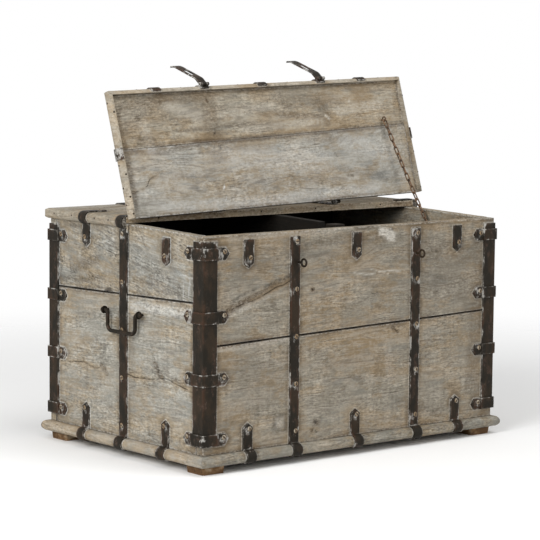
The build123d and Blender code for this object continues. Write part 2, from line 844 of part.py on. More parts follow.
def hinge_leaf(axis, x, end_y, height, shifts):
    """Leaf on a top face from its knuckles to end_y, with a web up to each knuckle."""
    axis_y = barrel_plane(axis, x).origin.Y
    forward = 1 if end_y > axis_y else -1
    low = height + iron_seat
    start_y = axis_y + forward * (knuckle_r + hinge_web)
    with BuildPart() as leaf:
        with BuildSketch(Plane.XY.offset(low)):
            with BuildLine():
                Polyline(*[(x + a, b) for a, b in
                           ((-strap_w / 2, start_y), (strap_w / 2, start_y),
                            (strap_w / 2, end_y - forward * tip_length), (0, end_y),
                            (-strap_w / 2, end_y - forward * tip_length))], close=True)
            make_face()
        extrude(amount=iron_t)
        for shift in shifts:
            at = barrel_plane(axis, x, shift).origin
            with BuildSketch(Plane.YZ.offset(x + shift - knuckle_w / 2)):
                with BuildLine():
                    Polyline((at.Y, at.Z + knuckle_r / 2), (at.Y, at.Z - knuckle_r / 2),
                             (start_y, low), (start_y + forward * iron_t, low),
                             (start_y + forward * iron_t, low + iron_t),
                             (start_y, low + iron_t), close=True)
                make_face()
            extrude(amount=knuckle_w)
            add(barrel(axis, x, shift, knuckle_w, knuckle_r))
        add(barrel(axis, x, 0, hinge_pin_length + overrun, hinge_pin_r + pin_clearance), mode=Mode.SUBTRACT)
    return leaf.part


rear_leaves = merged([hinge_leaf(hinge_axis, x, rail_front_y + hinge_leaf_length, top_z,
                                 (0,)) for x in HASPS.values()])
save(drilled(rear_leaves, bits(hinge_leaf_screws)), "hinge_leaves_rear")
save(merged([barrel(hinge_axis, x, 0, hinge_pin_length, hinge_pin_r) for x in HASPS.values()]),
     "hinge_pins")


# Lid, drawn shut: two boards, half-round edging, straps, clips, hasps and the chain's eye

seam_left_y = lid_rear_y + panel_depth * lid_seam_left_share
seam_right_y = lid_rear_y + panel_depth * lid_seam_right_share


def lid_board(left_low, right_low, left_high, right_high):
    """Board of the lid between two lines across it, given by their Y at both ends."""
    with BuildPart() as plank:
        with BuildSketch(Plane.XY.offset(lid_under_z)):
            with BuildLine():
                Polyline((-panel_half_w, left_low), (panel_half_w, right_low),
                         (panel_half_w, right_high), (-panel_half_w, left_high), close=True)
            make_face()
        extrude(amount=lid_top_z - lid_under_z)
        fillet(plank.edges(), radius=board_arris)
    return plank.part


rear_lid_board = lid_board(seam_left_y + board_gap / 2, seam_right_y + board_gap / 2,
                           lid_rear_y, lid_rear_y)
front_lid_board = lid_board(panel_front_y, panel_front_y,
                            seam_left_y - board_gap / 2, seam_right_y - board_gap / 2)
lid_eye_hole = bits([lid_eye_plane], chain_wire_r + shank_clearance, chain_eye_depth + shank_clearance)
save(opened(drilled(rear_lid_board, lid_holes)), "lid_board_rear")
save(opened(drilled(front_lid_board, lid_holes, lid_eye_hole)), "lid_board_front")
for side in ("left", "right", "front"):
    strip = edging(side, lid_edging_z, -half_d - edging_height, lid_rear_y, lid_side_clearance)
    save(opened(strip), f"lid_edging_{side}")


def edging_hoop(side, along, leaf, width):
    """Strip over the lid's edging: flat on the top for leaf, round the nose and under its edge."""
    section = section_plane(side, along)
    outer = iron_seat + iron_t
    with BuildPart() as hoop:
        with BuildSketch(section):
            with Locations((0, lid_edging_z)):
                Circle(edging_r + outer)
                Circle(edging_r + iron_seat, mode=Mode.SUBTRACT)
            with Locations((-edging_height / 2 + edging_r - edging_return, lid_edging_z)):
                Rectangle(edging_height, edging_height + edging_height, mode=Mode.SUBTRACT)
            with Locations(((edging_r - edging_return - leaf) / 2, lid_top_z + iron_seat + iron_t / 2)):
                Rectangle(leaf + edging_r - edging_return, iron_t)
        extrude(amount=width / 2, both=True)
    return hoop.part


def top_tip(side, along, leaf, width):
    """What is cut off the end of a leaf on the top to leave it pointed."""
    section = section_plane(side, along)
    with BuildPart() as wedges:
        plane = Plane(origin=section.origin + Vector(0, 0, lid_top_z) - section.x_dir * leaf,
                      x_dir=section.x_dir, z_dir=(0, 0, 1))
        with BuildSketch(plane):
            for sign in (-1, 1):
                with BuildLine():
                    Polyline((0, 0), (0, sign * width / 2), (tip_length, sign * width / 2), close=True)
                make_face()
        extrude(amount=overrun, both=True)
    return wedges.part


def lid_clip(side, along):
    """Short pointed strip on the lid that ends round its edging."""
    with BuildPart() as clip:
        add(edging_hoop(side, along, lid_leaf_length, strap_w))
        add(top_tip(side, along, lid_leaf_length, strap_w), mode=Mode.SUBTRACT)
    return clip.part


clips = merged([lid_clip("front", x) for x in (-tab_x, 0, tab_x)]
               + [lid_clip(side, side_tab_front_y) for side in ("left", "right")])
save(opened(drilled(clips, bits(lid_clip_screws))), "lid_clips")


def lid_strap(x):
    """Hinge strap along the lid, down over its front edging, with two ears for the hasp."""
    ear_shift = (hasp_knuckle_w + hasp_ear_w) / 2 + hasp_ear_gap
    nose = Vector(0, -half_d, lid_edging_z)
    down = Vector(0, hasp_y, hasp_z) - nose
    root = edging_r + iron_seat + iron_t / 2
    with BuildPart() as strap:
        add(hinge_leaf(level_axis, x, -half_d, lid_top_z, (-knuckle_step, knuckle_step)))
        with BuildSketch(Plane.XY.offset(lid_top_z + iron_seat)):
            with Locations((x, -half_d + tip_length / 2)):
                Rectangle(strap_w, tip_length)
        extrude(amount=iron_t)
        add(edging_hoop("front", x, tip_length, strap_w))
        for sign in (-1, 1):
            start = Vector(x + sign * ear_shift - hasp_ear_w / 2, 0, 0)
            with BuildSketch(Plane(origin=nose + start, x_dir=down, z_dir=(1, 0, 0))):
                with Locations((hasp_reach, 0)):
                    Circle(hasp_knuckle_r)
                with Locations(((root + hasp_reach) / 2, 0)):
                    Rectangle(hasp_reach - root, hasp_knuckle_r)
            extrude(amount=hasp_ear_w)
        with BuildSketch(Plane.YZ.offset(x - strap_w)):
            with Locations((hasp_y, hasp_z)):
                Circle(hasp_pin_r + pin_clearance)
        extrude(amount=strap_w + strap_w, mode=Mode.SUBTRACT)
    return strap.part


def hasp(x):
    """Hasp, drawn hanging shut over its staple: knuckle, bent heel, slotted shaft and turned tip."""
    shaft_y = hasp_y + hasp_heel_in
    with BuildPart() as plate:
        with BuildSketch(Plane.YZ.offset(x - hasp_w / 2)):
            with BuildLine() as spine:
                shaft_top = (shaft_y, hasp_z - hasp_heel)
                shaft_end = (shaft_y, hasp_z - hasp_heel - hasp_shaft)
                Spline((hasp_y, hasp_z - hasp_knuckle_r / 2), shaft_top, tangents=((0, -1), (0, -1)))
                Line(shaft_top, shaft_end)
                Spline(shaft_end, (shaft_y - hasp_tip_out, shaft_end[1] - hasp_tip),
                       tangents=((0, -1), (-1, -1)))
            trace(line_width=hasp_t)
        extrude(amount=hasp_w)
        with BuildSketch(Plane.XZ.offset(-shaft_y)):
            with Locations((x, shaft_end[1] - hasp_tip)):
                RectangleRounded(hasp_w, hasp_shaft + hasp_shaft + hasp_tip + hasp_tip, hasp_tip_round,
                                 align=(Align.CENTER, Align.MIN))
        extrude(amount=hasp_w, both=True, mode=Mode.INTERSECT)
        with BuildSketch(Plane.XZ.offset(-shaft_y)):
            with Locations((x, staple_z)):
                SlotOverall(hasp_slot_length, hasp_slot_w, rotation=90)
        extrude(amount=hasp_w, both=True, mode=Mode.SUBTRACT)
        for sign in (-1, 1):
            with BuildSketch(Plane.YZ.offset(x + sign * (hasp_w + hasp_knuckle_w) / 4)):
                with Locations((hasp_y, hasp_z)):
                    Circle(hasp_knuckle_r + hasp_ear_gap)
            extrude(amount=(hasp_w - hasp_knuckle_w) / 4, both=True, mode=Mode.SUBTRACT)
        with BuildSketch(Plane.YZ.offset(x)):
            with Locations((hasp_y, hasp_z)):
                Circle(hasp_knuckle_r)
        extrude(amount=hasp_knuckle_w / 2, both=True)
        with BuildSketch(Plane.YZ.offset(x)):
            with Locations((hasp_y, hasp_z)):
                Circle(hasp_pin_r + pin_clearance)
        extrude(amount=hasp_w, both=True, mode=Mode.SUBTRACT)
    return plate.part


hasp_axis = Axis((0, hasp_y, hasp_z), (1, 0, 0))
lid_straps = merged([lid_strap(x) for x in HASPS.values()])
save(opened(drilled(lid_straps, bits(lid_strap_screws))), "lid_straps")
for name, x in HASPS.items():
    save(opened(hasp(x).rotate(hasp_axis, -hasp_shut_deg)), f"hasp_{name}")


def hasp_pin(x):
    """Pin through a hasp's knuckle and the strap's ears."""
    length = hasp_knuckle_w + hasp_ear_w + hasp_ear_w + hasp_ear_gap + hasp_ear_gap
    with BuildPart() as pin:
        with BuildSketch(Plane.YZ.offset(x)):
            with Locations((hasp_y, hasp_z)):
                Circle(hasp_pin_r)
        extrude(amount=length / 2, both=True)
    return pin.part


save(opened(merged([hasp_pin(x) for x in HASPS.values()])), "hasp_pins")
save(opened(spread(screw(), lid_screw_places, screw_turn_deg)), "lid_screws")
save(spread(screw(), case_screw_places, screw_turn_deg), "case_screws")


# Chain between an eye on the lid's underside and one on the right wall, drawn straight

save(opened(ring_eye(lid_eye_plane, chain_eye_stand, chain_eye_r, chain_wire_r, chain_wire_r,
                     chain_eye_depth)), "chain_eye_lid")
save(ring_eye(wall_eye_plane, chain_eye_stand, chain_eye_r, chain_wire_r, chain_wire_r,
              chain_eye_depth), "chain_eye_wall")


def chain():
    """Welded wire links from the lid's eye to the wall's, each turned a quarter from the last."""
    wire_d = chain_wire_r + chain_wire_r
    end_r = link_inner_w / 2 + chain_wire_r
    eye_room = chain_eye_r - wire_d
    pitch = (chain_run.length - eye_room - eye_room - wire_d + link_slack) / chain_links
    straight = pitch + wire_d - end_r - end_r + link_slack
    along = chain_run.normalized()
    first = eye_room - link_slack + straight / 2 + end_r
    sideways = [Vector(1, 0, 0).cross(along).normalized()]
    sideways.append(sideways[0].cross(along))
    with BuildPart() as links:
        for i in range(chain_links):
            centre = chain_start + along * (first + pitch * i)
            plane = Plane(origin=centre, x_dir=along, z_dir=sideways[i % 2])
            with BuildLine(plane) as loop:
                Line((-straight / 2, end_r), (straight / 2, end_r))
                ThreePointArc((straight / 2, end_r), (straight / 2 + end_r, 0), (straight / 2, -end_r))
                Line((straight / 2, -end_r), (-straight / 2, -end_r))
                ThreePointArc((-straight / 2, -end_r), (-straight / 2 - end_r, 0),
                              (-straight / 2, end_r))
            with BuildSketch(Plane(origin=loop.line @ 0, x_dir=plane.z_dir, z_dir=along)):
                Circle(chain_wire_r)
            sweep()
    return links.part


save(chain(), "lid_chain")
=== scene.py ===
"""Finish of an old plank trunk table: limewashed boards, flat iron, screws, nails and chain.

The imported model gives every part's place. This script keeps its parts or stands a finer piece in
their place, and gives each its surface. Lengths are metres, in the model's own frame.
"""

import json
import logging
import math
from dataclasses import dataclass, field
from enum import Enum
from itertools import product

import bmesh
import bpy
import numpy as np
from mathutils import Matrix, Vector
from mathutils.bvhtree import BVHTree
from mathutils.kdtree import KDTree


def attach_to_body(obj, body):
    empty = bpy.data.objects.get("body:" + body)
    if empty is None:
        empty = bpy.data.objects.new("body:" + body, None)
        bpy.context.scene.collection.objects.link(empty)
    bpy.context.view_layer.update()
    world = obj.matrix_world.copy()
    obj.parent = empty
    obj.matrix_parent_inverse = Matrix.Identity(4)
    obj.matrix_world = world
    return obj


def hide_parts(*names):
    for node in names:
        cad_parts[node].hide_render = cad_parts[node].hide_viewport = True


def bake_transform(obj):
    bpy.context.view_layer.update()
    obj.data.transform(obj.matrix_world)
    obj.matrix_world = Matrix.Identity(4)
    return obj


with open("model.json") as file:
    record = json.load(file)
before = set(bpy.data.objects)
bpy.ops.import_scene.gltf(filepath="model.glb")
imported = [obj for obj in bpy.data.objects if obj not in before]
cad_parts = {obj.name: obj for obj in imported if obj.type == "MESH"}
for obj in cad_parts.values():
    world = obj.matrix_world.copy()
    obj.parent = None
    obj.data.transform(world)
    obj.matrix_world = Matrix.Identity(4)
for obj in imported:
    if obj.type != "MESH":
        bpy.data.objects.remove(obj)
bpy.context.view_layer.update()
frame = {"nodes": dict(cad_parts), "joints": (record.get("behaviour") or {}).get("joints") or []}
LOG = logging.getLogger("trunk_table")
MM = 0.001
FAR = 60.0 * MM
IRON_WORDS = ("strap", "tabs", "bracket", "corner_angle", "clips", "leaves", "staple")


class Slot(Enum):
    """Material slots of the record, not used by the pieces below."""

    WOOD = "old_wood"
    IRON = "strap_iron"
    SCREW = "screw_steel"
    CHAIN = "chain_steel"


class Channel(Enum):
    """Colour channel that a mark is painted in."""

    DARK = 0
    PALE = 1
    BROWN = 2


DARK, PALE, BROWN = Channel


# Node trees


class Wire:
    """Output socket of a node, with the arithmetic that adds Math nodes."""

    def __init__(self, tree: "NodeTree", socket: bpy.types.NodeSocket) -> None:
        """Keeps the tree and the socket."""
        self.tree = tree
        self.socket = socket

    def sibling(self, output: int | str) -> "Wire":
        """Another output of the same node."""
        return Wire(self.tree, self.socket.node.outputs[output])

    def maths(self, operation: str, other: "Wire | float" = 0.0, swap: bool = False) -> "Wire":
        """Adds one Math node.

        Args:
            operation: Name of the operation.
            other: Second value.
            swap: True to put the second value first.

        Returns:
            The result's wire.
        """
        pair = (other, self) if swap else (self, other)
        return self.tree.node("ShaderNodeMath", {"operation": operation}, {0: pair[0], 1: pair[1]})

    def __add__(self, other: "Wire | float") -> "Wire":
        """Sum."""
        return self.maths("ADD", other)

    def __radd__(self, other: float) -> "Wire":
        """Sum with the number first."""
        return self.maths("ADD", other, True)

    def __sub__(self, other: "Wire | float") -> "Wire":
        """Difference."""
        return self.maths("SUBTRACT", other)

    def __rsub__(self, other: float) -> "Wire":
        """Difference with the number first."""
        return self.maths("SUBTRACT", other, True)

    def __mul__(self, other: "Wire | float") -> "Wire":
        """Product."""
        return self.maths("MULTIPLY", other)

    def __rmul__(self, other: float) -> "Wire":
        """Product with the number first."""
        return self.maths("MULTIPLY", other, True)

    def most(self, other: "Wire | float") -> "Wire":
        """Larger of two values."""
        return self.maths("MAXIMUM", other)

    def least(self, other: "Wire | float") -> "Wire":
        """Smaller of two values."""
        return self.maths("MINIMUM", other)

    def step(self, low: float, high: float) -> "Wire":
        """Smooth step from 0 at low to 1 at high; low may be above high."""
        return self.tree.node("ShaderNodeMapRange", {"interpolation_type": "SMOOTHSTEP"},
                              {0: self, 1: low, 2: high, 3: 0.0, 4: 1.0})


class NodeTree:
    """A node tree that is built call by call."""

    def __init__(self, tree: bpy.types.NodeTree) -> None:
        """Empties the tree."""
        self.tree = tree
        tree.nodes.clear()

    def node(self, kind: str, settings: dict | None = None, sockets: dict | None = None,
             output: int | str = 0) -> "Wire | None":
        """Adds a node.

        Args:
            kind: Type name of the node.
            settings: Properties, set first.
            sockets: Inputs by name or number, each a value or a wire.
            output: Name or number of the output to return.

        Returns:
            The wire of that output, or None where the node has no output.
        """
        made = self.tree.nodes.new(kind)
        for key, value in (settings or {}).items():
            setattr(made, key, value)
        for key, value in (sockets or {}).items():
            if isinstance(value, Wire):
                self.tree.links.new(value.socket, made.inputs[key])
            else:
                made.inputs[key].default_value = value
        return Wire(self, made.outputs[output]) if len(made.outputs) else None

    def vector_maths(self, operation: str, sockets: dict, output: int | str = 0) -> Wire:
        """Adds one Vector Math node."""
        return self.node("ShaderNodeVectorMath", {"operation": operation}, sockets, output)

    def joined(self, parts: dict) -> Wire:
        """Vector from numbers for some of its three axes, with 0 for the rest."""
        return self.node("ShaderNodeCombineXYZ", None, parts)


class Surface(NodeTree):
    """Shader tree of one material."""

    def __init__(self, name: str) -> None:
        """Makes the material."""
        self.material = bpy.data.materials.new(name)
        self.material.use_nodes = True
        super().__init__(self.material.node_tree)

    def spot(self) -> Wire:
        """Place on the object."""
        return self.node("ShaderNodeTexCoord", output="Object")

    def attribute(self, name: str, output: str = "Fac") -> Wire:
        """What a piece carries at each point: a number, or its "Vector", "Color" or "Alpha"."""
        return self.node("ShaderNodeAttribute", {"attribute_name": name}, output=output)

    def channels(self, name: str) -> list[Wire]:
        """Three numbers of a colour that a piece carries at each point."""
        red = self.node("ShaderNodeSeparateColor", None, {0: self.attribute(name, "Color")})
        return [red.sibling(i) for i in range(3)]

    def scaled(self, vector: "Wire | tuple", amount: Wire) -> Wire:
        """Vector or colour multiplied by a number."""
        return self.vector_maths("SCALE", {0: vector, 3: amount})

    def shifted(self, spot: Wire, amount: Wire, direction: tuple[float, float, float]) -> Wire:
        """Coordinates moved along a direction by an amount."""
        return self.vector_maths("ADD", {0: spot, 1: self.scaled(direction, amount)})

    def noise(self, spot: Wire, scale: tuple[float, float, float], detail: float = 3.0,
              rough: float = 0.55) -> Wire:
        """Noise between 0 and 1, with a scale for each axis."""
        stretched = self.vector_maths("MULTIPLY", {0: spot, 1: scale})
        return self.node("ShaderNodeTexNoise", None,
                         {"Vector": stretched, "Scale": 1.0, "Detail": detail, "Roughness": rough})

    def mix(self, a: "Wire | tuple", b: "Wire | tuple", share: "Wire | float",
            blend: str = "MIX") -> Wire:
        """Mix of two colours."""
        pair = {key: value if isinstance(value, Wire) else (*value, 1.0)
                for key, value in ((6, a), (7, b))}
        return self.node("ShaderNodeMix", {"data_type": "RGBA", "blend_type": blend},
                         {0: share, **pair}, 2)

    def finish(self, colour: Wire, rough: Wire, metal: "Wire | float" = 0.0, *, height: Wire,
               strength: float = 0.5, depth: float = 0.5 * MM,
               specular: float = 0.5) -> bpy.types.Material:
        """Joins the shader and the output.

        Args:
            colour: Base colour.
            rough: Roughness.
            metal: Metallic.
            height: Height of the fine relief.
            strength: Strength of the relief.
            depth: Depth of the relief.
            specular: Specular level, the same all over.

        Returns:
            The material.
        """
        relief = self.node("ShaderNodeBump", None,
                           {"Strength": strength, "Distance": depth, "Height": height})
        shader = self.node("ShaderNodeBsdfPrincipled", None,
                           {"Base Color": colour, "Roughness": rough, "Metallic": metal,
                            "Specular IOR Level": specular, "Normal": relief})
        self.node("ShaderNodeOutputMaterial", None, {"Surface": shader})
        return self.material


# Finishes


@dataclass(frozen=True)
class LimedWood:
    """Old wood under worn limewash: streaks along the grain, figure, stains, marks, and painted shade on the
    case's inner faces.

    Each pair is the distance at which an effect begins and the one at which it is whole, in metres
    from the iron, from the board's own edge or from a crack.
    """

    name: str
    pale: tuple = (0.52, 0.495, 0.435)
    grey: tuple = (0.285, 0.262, 0.215)
    blue: tuple = (0.225, 0.225, 0.205)
    tan: tuple = (0.315, 0.240, 0.150)
    brown: tuple = (0.090, 0.062, 0.038)
    soot_and_shade: tuple = (0.012, 0.0085, 0.0065)
    lime: tuple = (0.66, 0.64, 0.59)
    figure: float = 95.0
    wash: float = 0.0
    bite: float = 1.0
    iron_halo: tuple = (32.0 * MM, 3.0 * MM)
    iron_rust: tuple = (15.0 * MM, 1.5 * MM)
    iron_lime: tuple = (4.6 * MM, 1.6 * MM)
    iron_soot: tuple = (1.2 * MM, 0.3 * MM)
    edge_tan: tuple = (26.0 * MM, 0.0)
    edge_brown: tuple = (10.0 * MM, 0.0)
    edge_lime_and_highlight: tuple = (5.0 * MM, 1.2 * MM)
    crack_tan: tuple = (10.0 * MM, 1.0 * MM)
    crack_brown: tuple = (3.4 * MM, 0.6 * MM)
    crack_soot: tuple = (1.4 * MM, 0.3 * MM)

    def make(self) -> bpy.types.Material:
        """Builds the material."""
        s = Surface(self.name)
        spot = s.attribute("grain", "Vector")
        drift = s.noise(spot, (4.2, 15.0, 15.0), 2.5) - 0.5
        bent = s.shifted(spot, drift * 0.032, (0.0, 1.0, 0.7))
        lines = s.noise(bent, (2.4, 15.0, 15.0), 2.0, 0.5)
        rings = (lines * self.figure).maths("SINE") * 0.5 + 0.5
        fibre = s.noise(bent, (24.0, 640.0, 640.0), 3.0, 0.62)
        fine = s.noise(bent, (17.0, 300.0, 300.0), 4.0, 0.62)
        streak = s.noise(bent, (8.0, 110.0, 110.0), 5.0, 0.62)
        broad = s.noise(bent, (2.4, 9.0, 9.0), 5.0, 0.62)
        cloud = s.noise(spot, (11.0, 19.0, 19.0), 7.0, 0.72)
        wisp = s.noise(bent, (11.0, 50.0, 50.0), 6.0, 0.68)
        scuff = s.noise(spot, (110.0, 150.0, 150.0), 5.0, 0.75)
        grit = s.noise(spot, (125.0, 270.0, 270.0), 3.0, 0.72)
        patch = s.noise(spot, (9.0, 17.0, 17.0), 3.0, 0.6)
        sawn = s.noise(spot, (95.0, 5.0, 5.0), 3.0, 0.6)
        stain = s.noise(spot, (10.0, 18.0, 18.0), 7.0, 0.70)
        colour = s.mix(self.grey, self.tan, (broad * 0.6 + cloud * 0.4).step(0.46, 0.56))
        lime = (cloud * 0.34 + streak * 0.34 + scuff * 0.32 + self.wash).step(0.43, 0.57)
        colour = s.mix(colour, self.pale, lime * 0.57)
        colour = s.mix(colour, self.blue, (1.0 - wisp).step(0.50, 0.62) * patch.step(0.60, 0.44) * 0.54)
        colour = s.mix(colour, self.brown, rings.step(0.62, 1.0) * streak.step(0.42, 0.58) * 0.34)
        colour = s.mix(colour, self.brown, streak.step(0.56, 0.68) * scuff.step(0.42, 0.58) * 0.40)
        colour = s.mix(colour, self.tan, stain.step(0.52, 0.62) * 0.58)
        colour = s.mix(colour, self.brown, stain.step(0.59, 0.70) * fine.step(0.40, 0.58) * 0.60)
        colour = s.mix(colour, self.brown, fine.step(0.57, 0.70) * patch.step(0.40, 0.58) * 0.50)
        colour = s.mix(colour, self.pale, (1.0 - fibre).step(0.54, 0.70) * 0.32)
        colour = self._wear(s, spot, colour, cloud, wisp, stain)
        bite = (grit - 0.5) * 1.95 + (fine - 0.5) * 0.55 + (fibre - 0.5) * 1.0 + (sawn - 0.5) * 0.6
        bite = bite * self.bite * (0.35 + patch.step(0.36, 0.62) * 1.05) * s.attribute("tone_and_shade", "Alpha")
        colour = s.scaled(colour, (1.0 - bite).most(0.1))
        relief = fine * 0.5 + fibre * 0.25 + rings * 0.10 + wisp * 0.45 + scuff * 0.3
        return s.finish(colour, 0.80 + fine * 0.12, height=relief, strength=0.65, depth=0.8 * MM,
                        specular=0.22)

    def _wear(self, s: Surface, spot: Wire, colour: Wire, cloud: Wire, wisp: Wire,
              stain: Wire) -> Wire:
        """Adds what depends on a board's own edges, its iron, its marks, and the painted shade of its inner
        face.
        """
        speck = s.noise(spot, (150.0, 210.0, 210.0), 4.0, 0.7)
        iron = s.attribute("iron") + (speck - 0.5) * 0.004
        edge = s.attribute("edge") + (wisp - 0.5) * 0.010
        colour = s.mix(colour, self.tan, iron.step(*self.iron_halo) * cloud.step(0.42, 0.58) * 0.50)
        colour = s.mix(colour, self.brown, iron.step(*self.iron_rust) * stain.step(0.42, 0.58) * 0.60)
        colour = s.mix(colour, self.tan, edge.step(*self.edge_tan) * cloud.step(0.40, 0.60) * 0.55)
        colour = s.mix(colour, self.brown, edge.step(*self.edge_brown) * stain.step(0.38, 0.56) * 0.66)
        # Pale along the board's own edges: lime caught on the arrises, with a painted highlight on them.
        lime_and_highlight_crest = s.attribute("edge").step(*self.edge_lime_and_highlight)
        colour = s.mix(colour, self.lime, lime_and_highlight_crest * speck.step(0.40, 0.58) * 0.50)
        colour = s.mix(colour, self.lime, iron.step(*self.iron_lime) * speck.step(0.34, 0.56) * 0.60)
        colour = s.mix(colour, self.soot_and_shade, iron.step(*self.iron_soot) * 0.75)
        dark, pale, brown = s.channels("marks")
        grit = speck.step(0.34, 0.60)
        colour = s.mix(colour, self.brown, (brown * (0.25 + grit * 0.9)).least(1.0))
        colour = s.mix(colour, self.soot_and_shade, (dark * (0.35 + grit * 0.8)).least(1.0))
        colour = s.mix(colour, self.lime, (pale * (0.30 + grit * 0.9)).least(1.0))
        line = (s.attribute("crack") + (wisp - 0.5) * 0.010 + (speck - 0.5) * 0.003).maths("ABSOLUTE")
        broken = s.noise(spot, (30.0, 30.0, 30.0), 3.0, 0.6)
        colour = s.mix(colour, self.tan, line.step(*self.crack_tan) * stain.step(0.36, 0.56) * 0.55)
        colour = s.mix(colour, self.brown, line.step(*self.crack_brown) * stain.step(0.40, 0.60) * 0.55)
        colour = s.mix(colour, self.soot_and_shade, line.step(*self.crack_soot) * broken.step(0.46, 0.56) * 0.75)
        # Each piece's tone, which on some pieces also holds painted shade and light of its side.
        colour = s.mix(colour, s.attribute("tone_and_shade", "Color"), 1.0, "MULTIPLY")
        # Painted shade of the case's inside: inner faces mixed towards near black.
        return s.mix(colour, self.soot_and_shade, s.attribute("inside") * 0.97)


@dataclass(frozen=True)
class FootWood:
    """Bare brown block, worn at its edges."""

    name: str = "foot_block_wood"
    dark: tuple = (0.098, 0.050, 0.019)
    light: tuple = (0.215, 0.128, 0.060)
    crease: tuple = (0.028, 0.018, 0.010)
    cream: tuple = (0.33, 0.275, 0.195)

    def make(self) -> bpy.types.Material:
        """Builds the material."""
        s = Surface(self.name)
        spot = s.spot()
        streak = s.noise(spot, (22.0, 260.0, 160.0), 5.0, 0.62)
        cloud = s.noise(spot, (30.0, 42.0, 60.0), 4.0, 0.6)
        colour = s.mix(self.dark, self.light, cloud.step(0.42, 0.62))
        colour = s.mix(colour, self.crease, streak.step(0.50, 0.66) * 0.7)
        colour = s.mix(colour, self.cream, cloud.step(0.54, 0.68) * 0.65)
        return s.finish(colour, 0.72 + streak * 0.18, height=streak, strength=0.5, specular=0.3)


@dataclass(frozen=True)
class ForgedIron:
    """Black-brown flat iron with rust, worn rims with a painted highlight, and lime caught at its edges.

    Each pair is the distance at which an effect begins and the one at which it is whole, in metres
    from the piece's own edge or from a screw.
    """

    name: str
    rim: bool = True
    black: tuple = (0.0118, 0.0090, 0.0052)
    brown: tuple = (0.028, 0.0180, 0.0098)
    rust: tuple = (0.066, 0.030, 0.017)
    worn: tuple = (0.105, 0.094, 0.080)
    lime: tuple = (0.46, 0.445, 0.41)
    rim_rust: tuple = (5.0 * MM, 1.0 * MM)
    rim_worn_and_highlight: tuple = (2.2 * MM, 0.0)
    rim_lime: tuple = (2.4 * MM, 0.3 * MM)
    screw_lime: tuple = (11.0 * MM, 6.0 * MM)

    def make(self) -> bpy.types.Material:
        """Builds the material."""
        s = Surface(self.name)
        spot = s.spot()
        cloud = s.noise(spot, (26.0, 26.0, 13.0), 5.0, 0.62)
        patch = s.noise(spot, (70.0, 70.0, 40.0), 5.0, 0.68)
        speck = s.noise(spot, (280.0, 280.0, 220.0), 3.0, 0.68)
        colour = s.mix(self.black, self.brown, cloud.step(0.42, 0.60))
        colour = s.mix(colour, self.rust, patch.step(0.54, 0.68) * 0.50)
        colour = s.mix(colour, self.worn, (patch * 0.5 + speck * 0.5).step(0.55, 0.66) * 0.34)
        if self.rim:
            colour = self._wear(s, colour, cloud, patch, speck)
        colour = s.mix(colour, self.lime, speck.step(0.68, 0.76) * cloud.step(0.50, 0.62) * 0.40)
        metal = 0.28 - patch.step(0.46, 0.66) * 0.2
        return s.finish(colour, 0.44 + cloud * 0.22 + speck * 0.18, metal,
                        height=cloud * 0.7 + speck * 0.6, strength=0.6, depth=0.6 * MM, specular=0.20)

    def _wear(self, s: Surface, colour: Wire, cloud: Wire, patch: Wire, speck: Wire) -> Wire:
        """Adds rust, wear with a painted highlight, and lime at the piece's own edges, round its screws and
        on its washes.
        """
        near = s.attribute("rim") + (speck - 0.5) * 0.0022
        colour = s.mix(colour, self.rust, near.step(*self.rim_rust) * cloud.step(0.46, 0.60) * 0.55)
        # Pale worn metal at the piece's edges, which also paints a highlight on them.
        colour = s.mix(colour, self.worn, near.step(*self.rim_worn_and_highlight) * patch.step(0.40, 0.56) * 0.75)
        colour = s.mix(colour, self.lime, near.step(*self.rim_lime) * patch.step(0.52, 0.62) * 0.8)
        ring = s.attribute("screw").step(*self.screw_lime) * patch.step(0.48, 0.60)
        colour = s.mix(colour, self.lime, ring * (0.15 + speck.step(0.42, 0.60) * 0.45))
        wash = s.attribute("wash") * 0.22 + patch * 0.75 + (speck - 0.5) * 0.35
        reach = s.attribute("wash").step(0.0, 0.4)
        return s.mix(colour, self.lime, wash.step(0.50, 0.62) * reach * 0.8)


@dataclass(frozen=True)
class TarnishedHead:
    """Screw and nail heads: a tan worn ring round a dark middle."""

    name: str = "tarnished_head"
    tan: tuple = (0.215, 0.148, 0.082)
    pale: tuple = (0.36, 0.315, 0.245)
    middle: tuple = (0.085, 0.062, 0.042)
    rim: tuple = (0.055, 0.042, 0.032)
    slot: tuple = (0.028, 0.02, 0.014)

    def make(self) -> bpy.types.Material:
        """Builds the material."""
        s = Surface(self.name)
        spot = s.spot()
        speck = s.noise(spot, (420.0, 420.0, 420.0), 3.0, 0.6)
        patch = s.noise(spot, (90.0, 90.0, 90.0), 2.0, 0.6)
        out = s.attribute("radial") + (speck - 0.5) * 0.35
        ring = s.mix(self.tan, self.pale, patch.step(0.44, 0.64))
        colour = s.mix(self.middle, ring, out.step(0.34, 0.56))
        colour = s.mix(colour, self.rim, out.step(0.90, 1.02))
        colour = s.mix(colour, self.slot, s.attribute("cut") * 0.9)
        return s.finish(colour, 0.56 + speck * 0.25, 0.12, height=speck, strength=0.4, depth=0.3 * MM,
                        specular=0.35)


@dataclass(frozen=True)
class RustyWire:
    """Brown rusty wire of the chain."""

    name: str = "rusty_wire"
    brown: tuple = (0.060, 0.038, 0.024)
    rust: tuple = (0.20, 0.115, 0.060)
    worn: tuple = (0.36, 0.31, 0.24)

    def make(self) -> bpy.types.Material:
        """Builds the material."""
        s = Surface(self.name)
        spot = s.spot()
        patch = s.noise(spot, (150.0, 150.0, 120.0), 4.0, 0.6)
        speck = s.noise(spot, (600.0, 600.0, 600.0), 3.0, 0.6)
        colour = s.mix(self.brown, self.rust, patch.step(0.38, 0.62))
        colour = s.mix(colour, self.worn, speck.step(0.60, 0.72) * 0.5)
        return s.finish(colour, 0.55 + speck * 0.25, 0.4, height=speck, strength=0.4, depth=0.3 * MM)


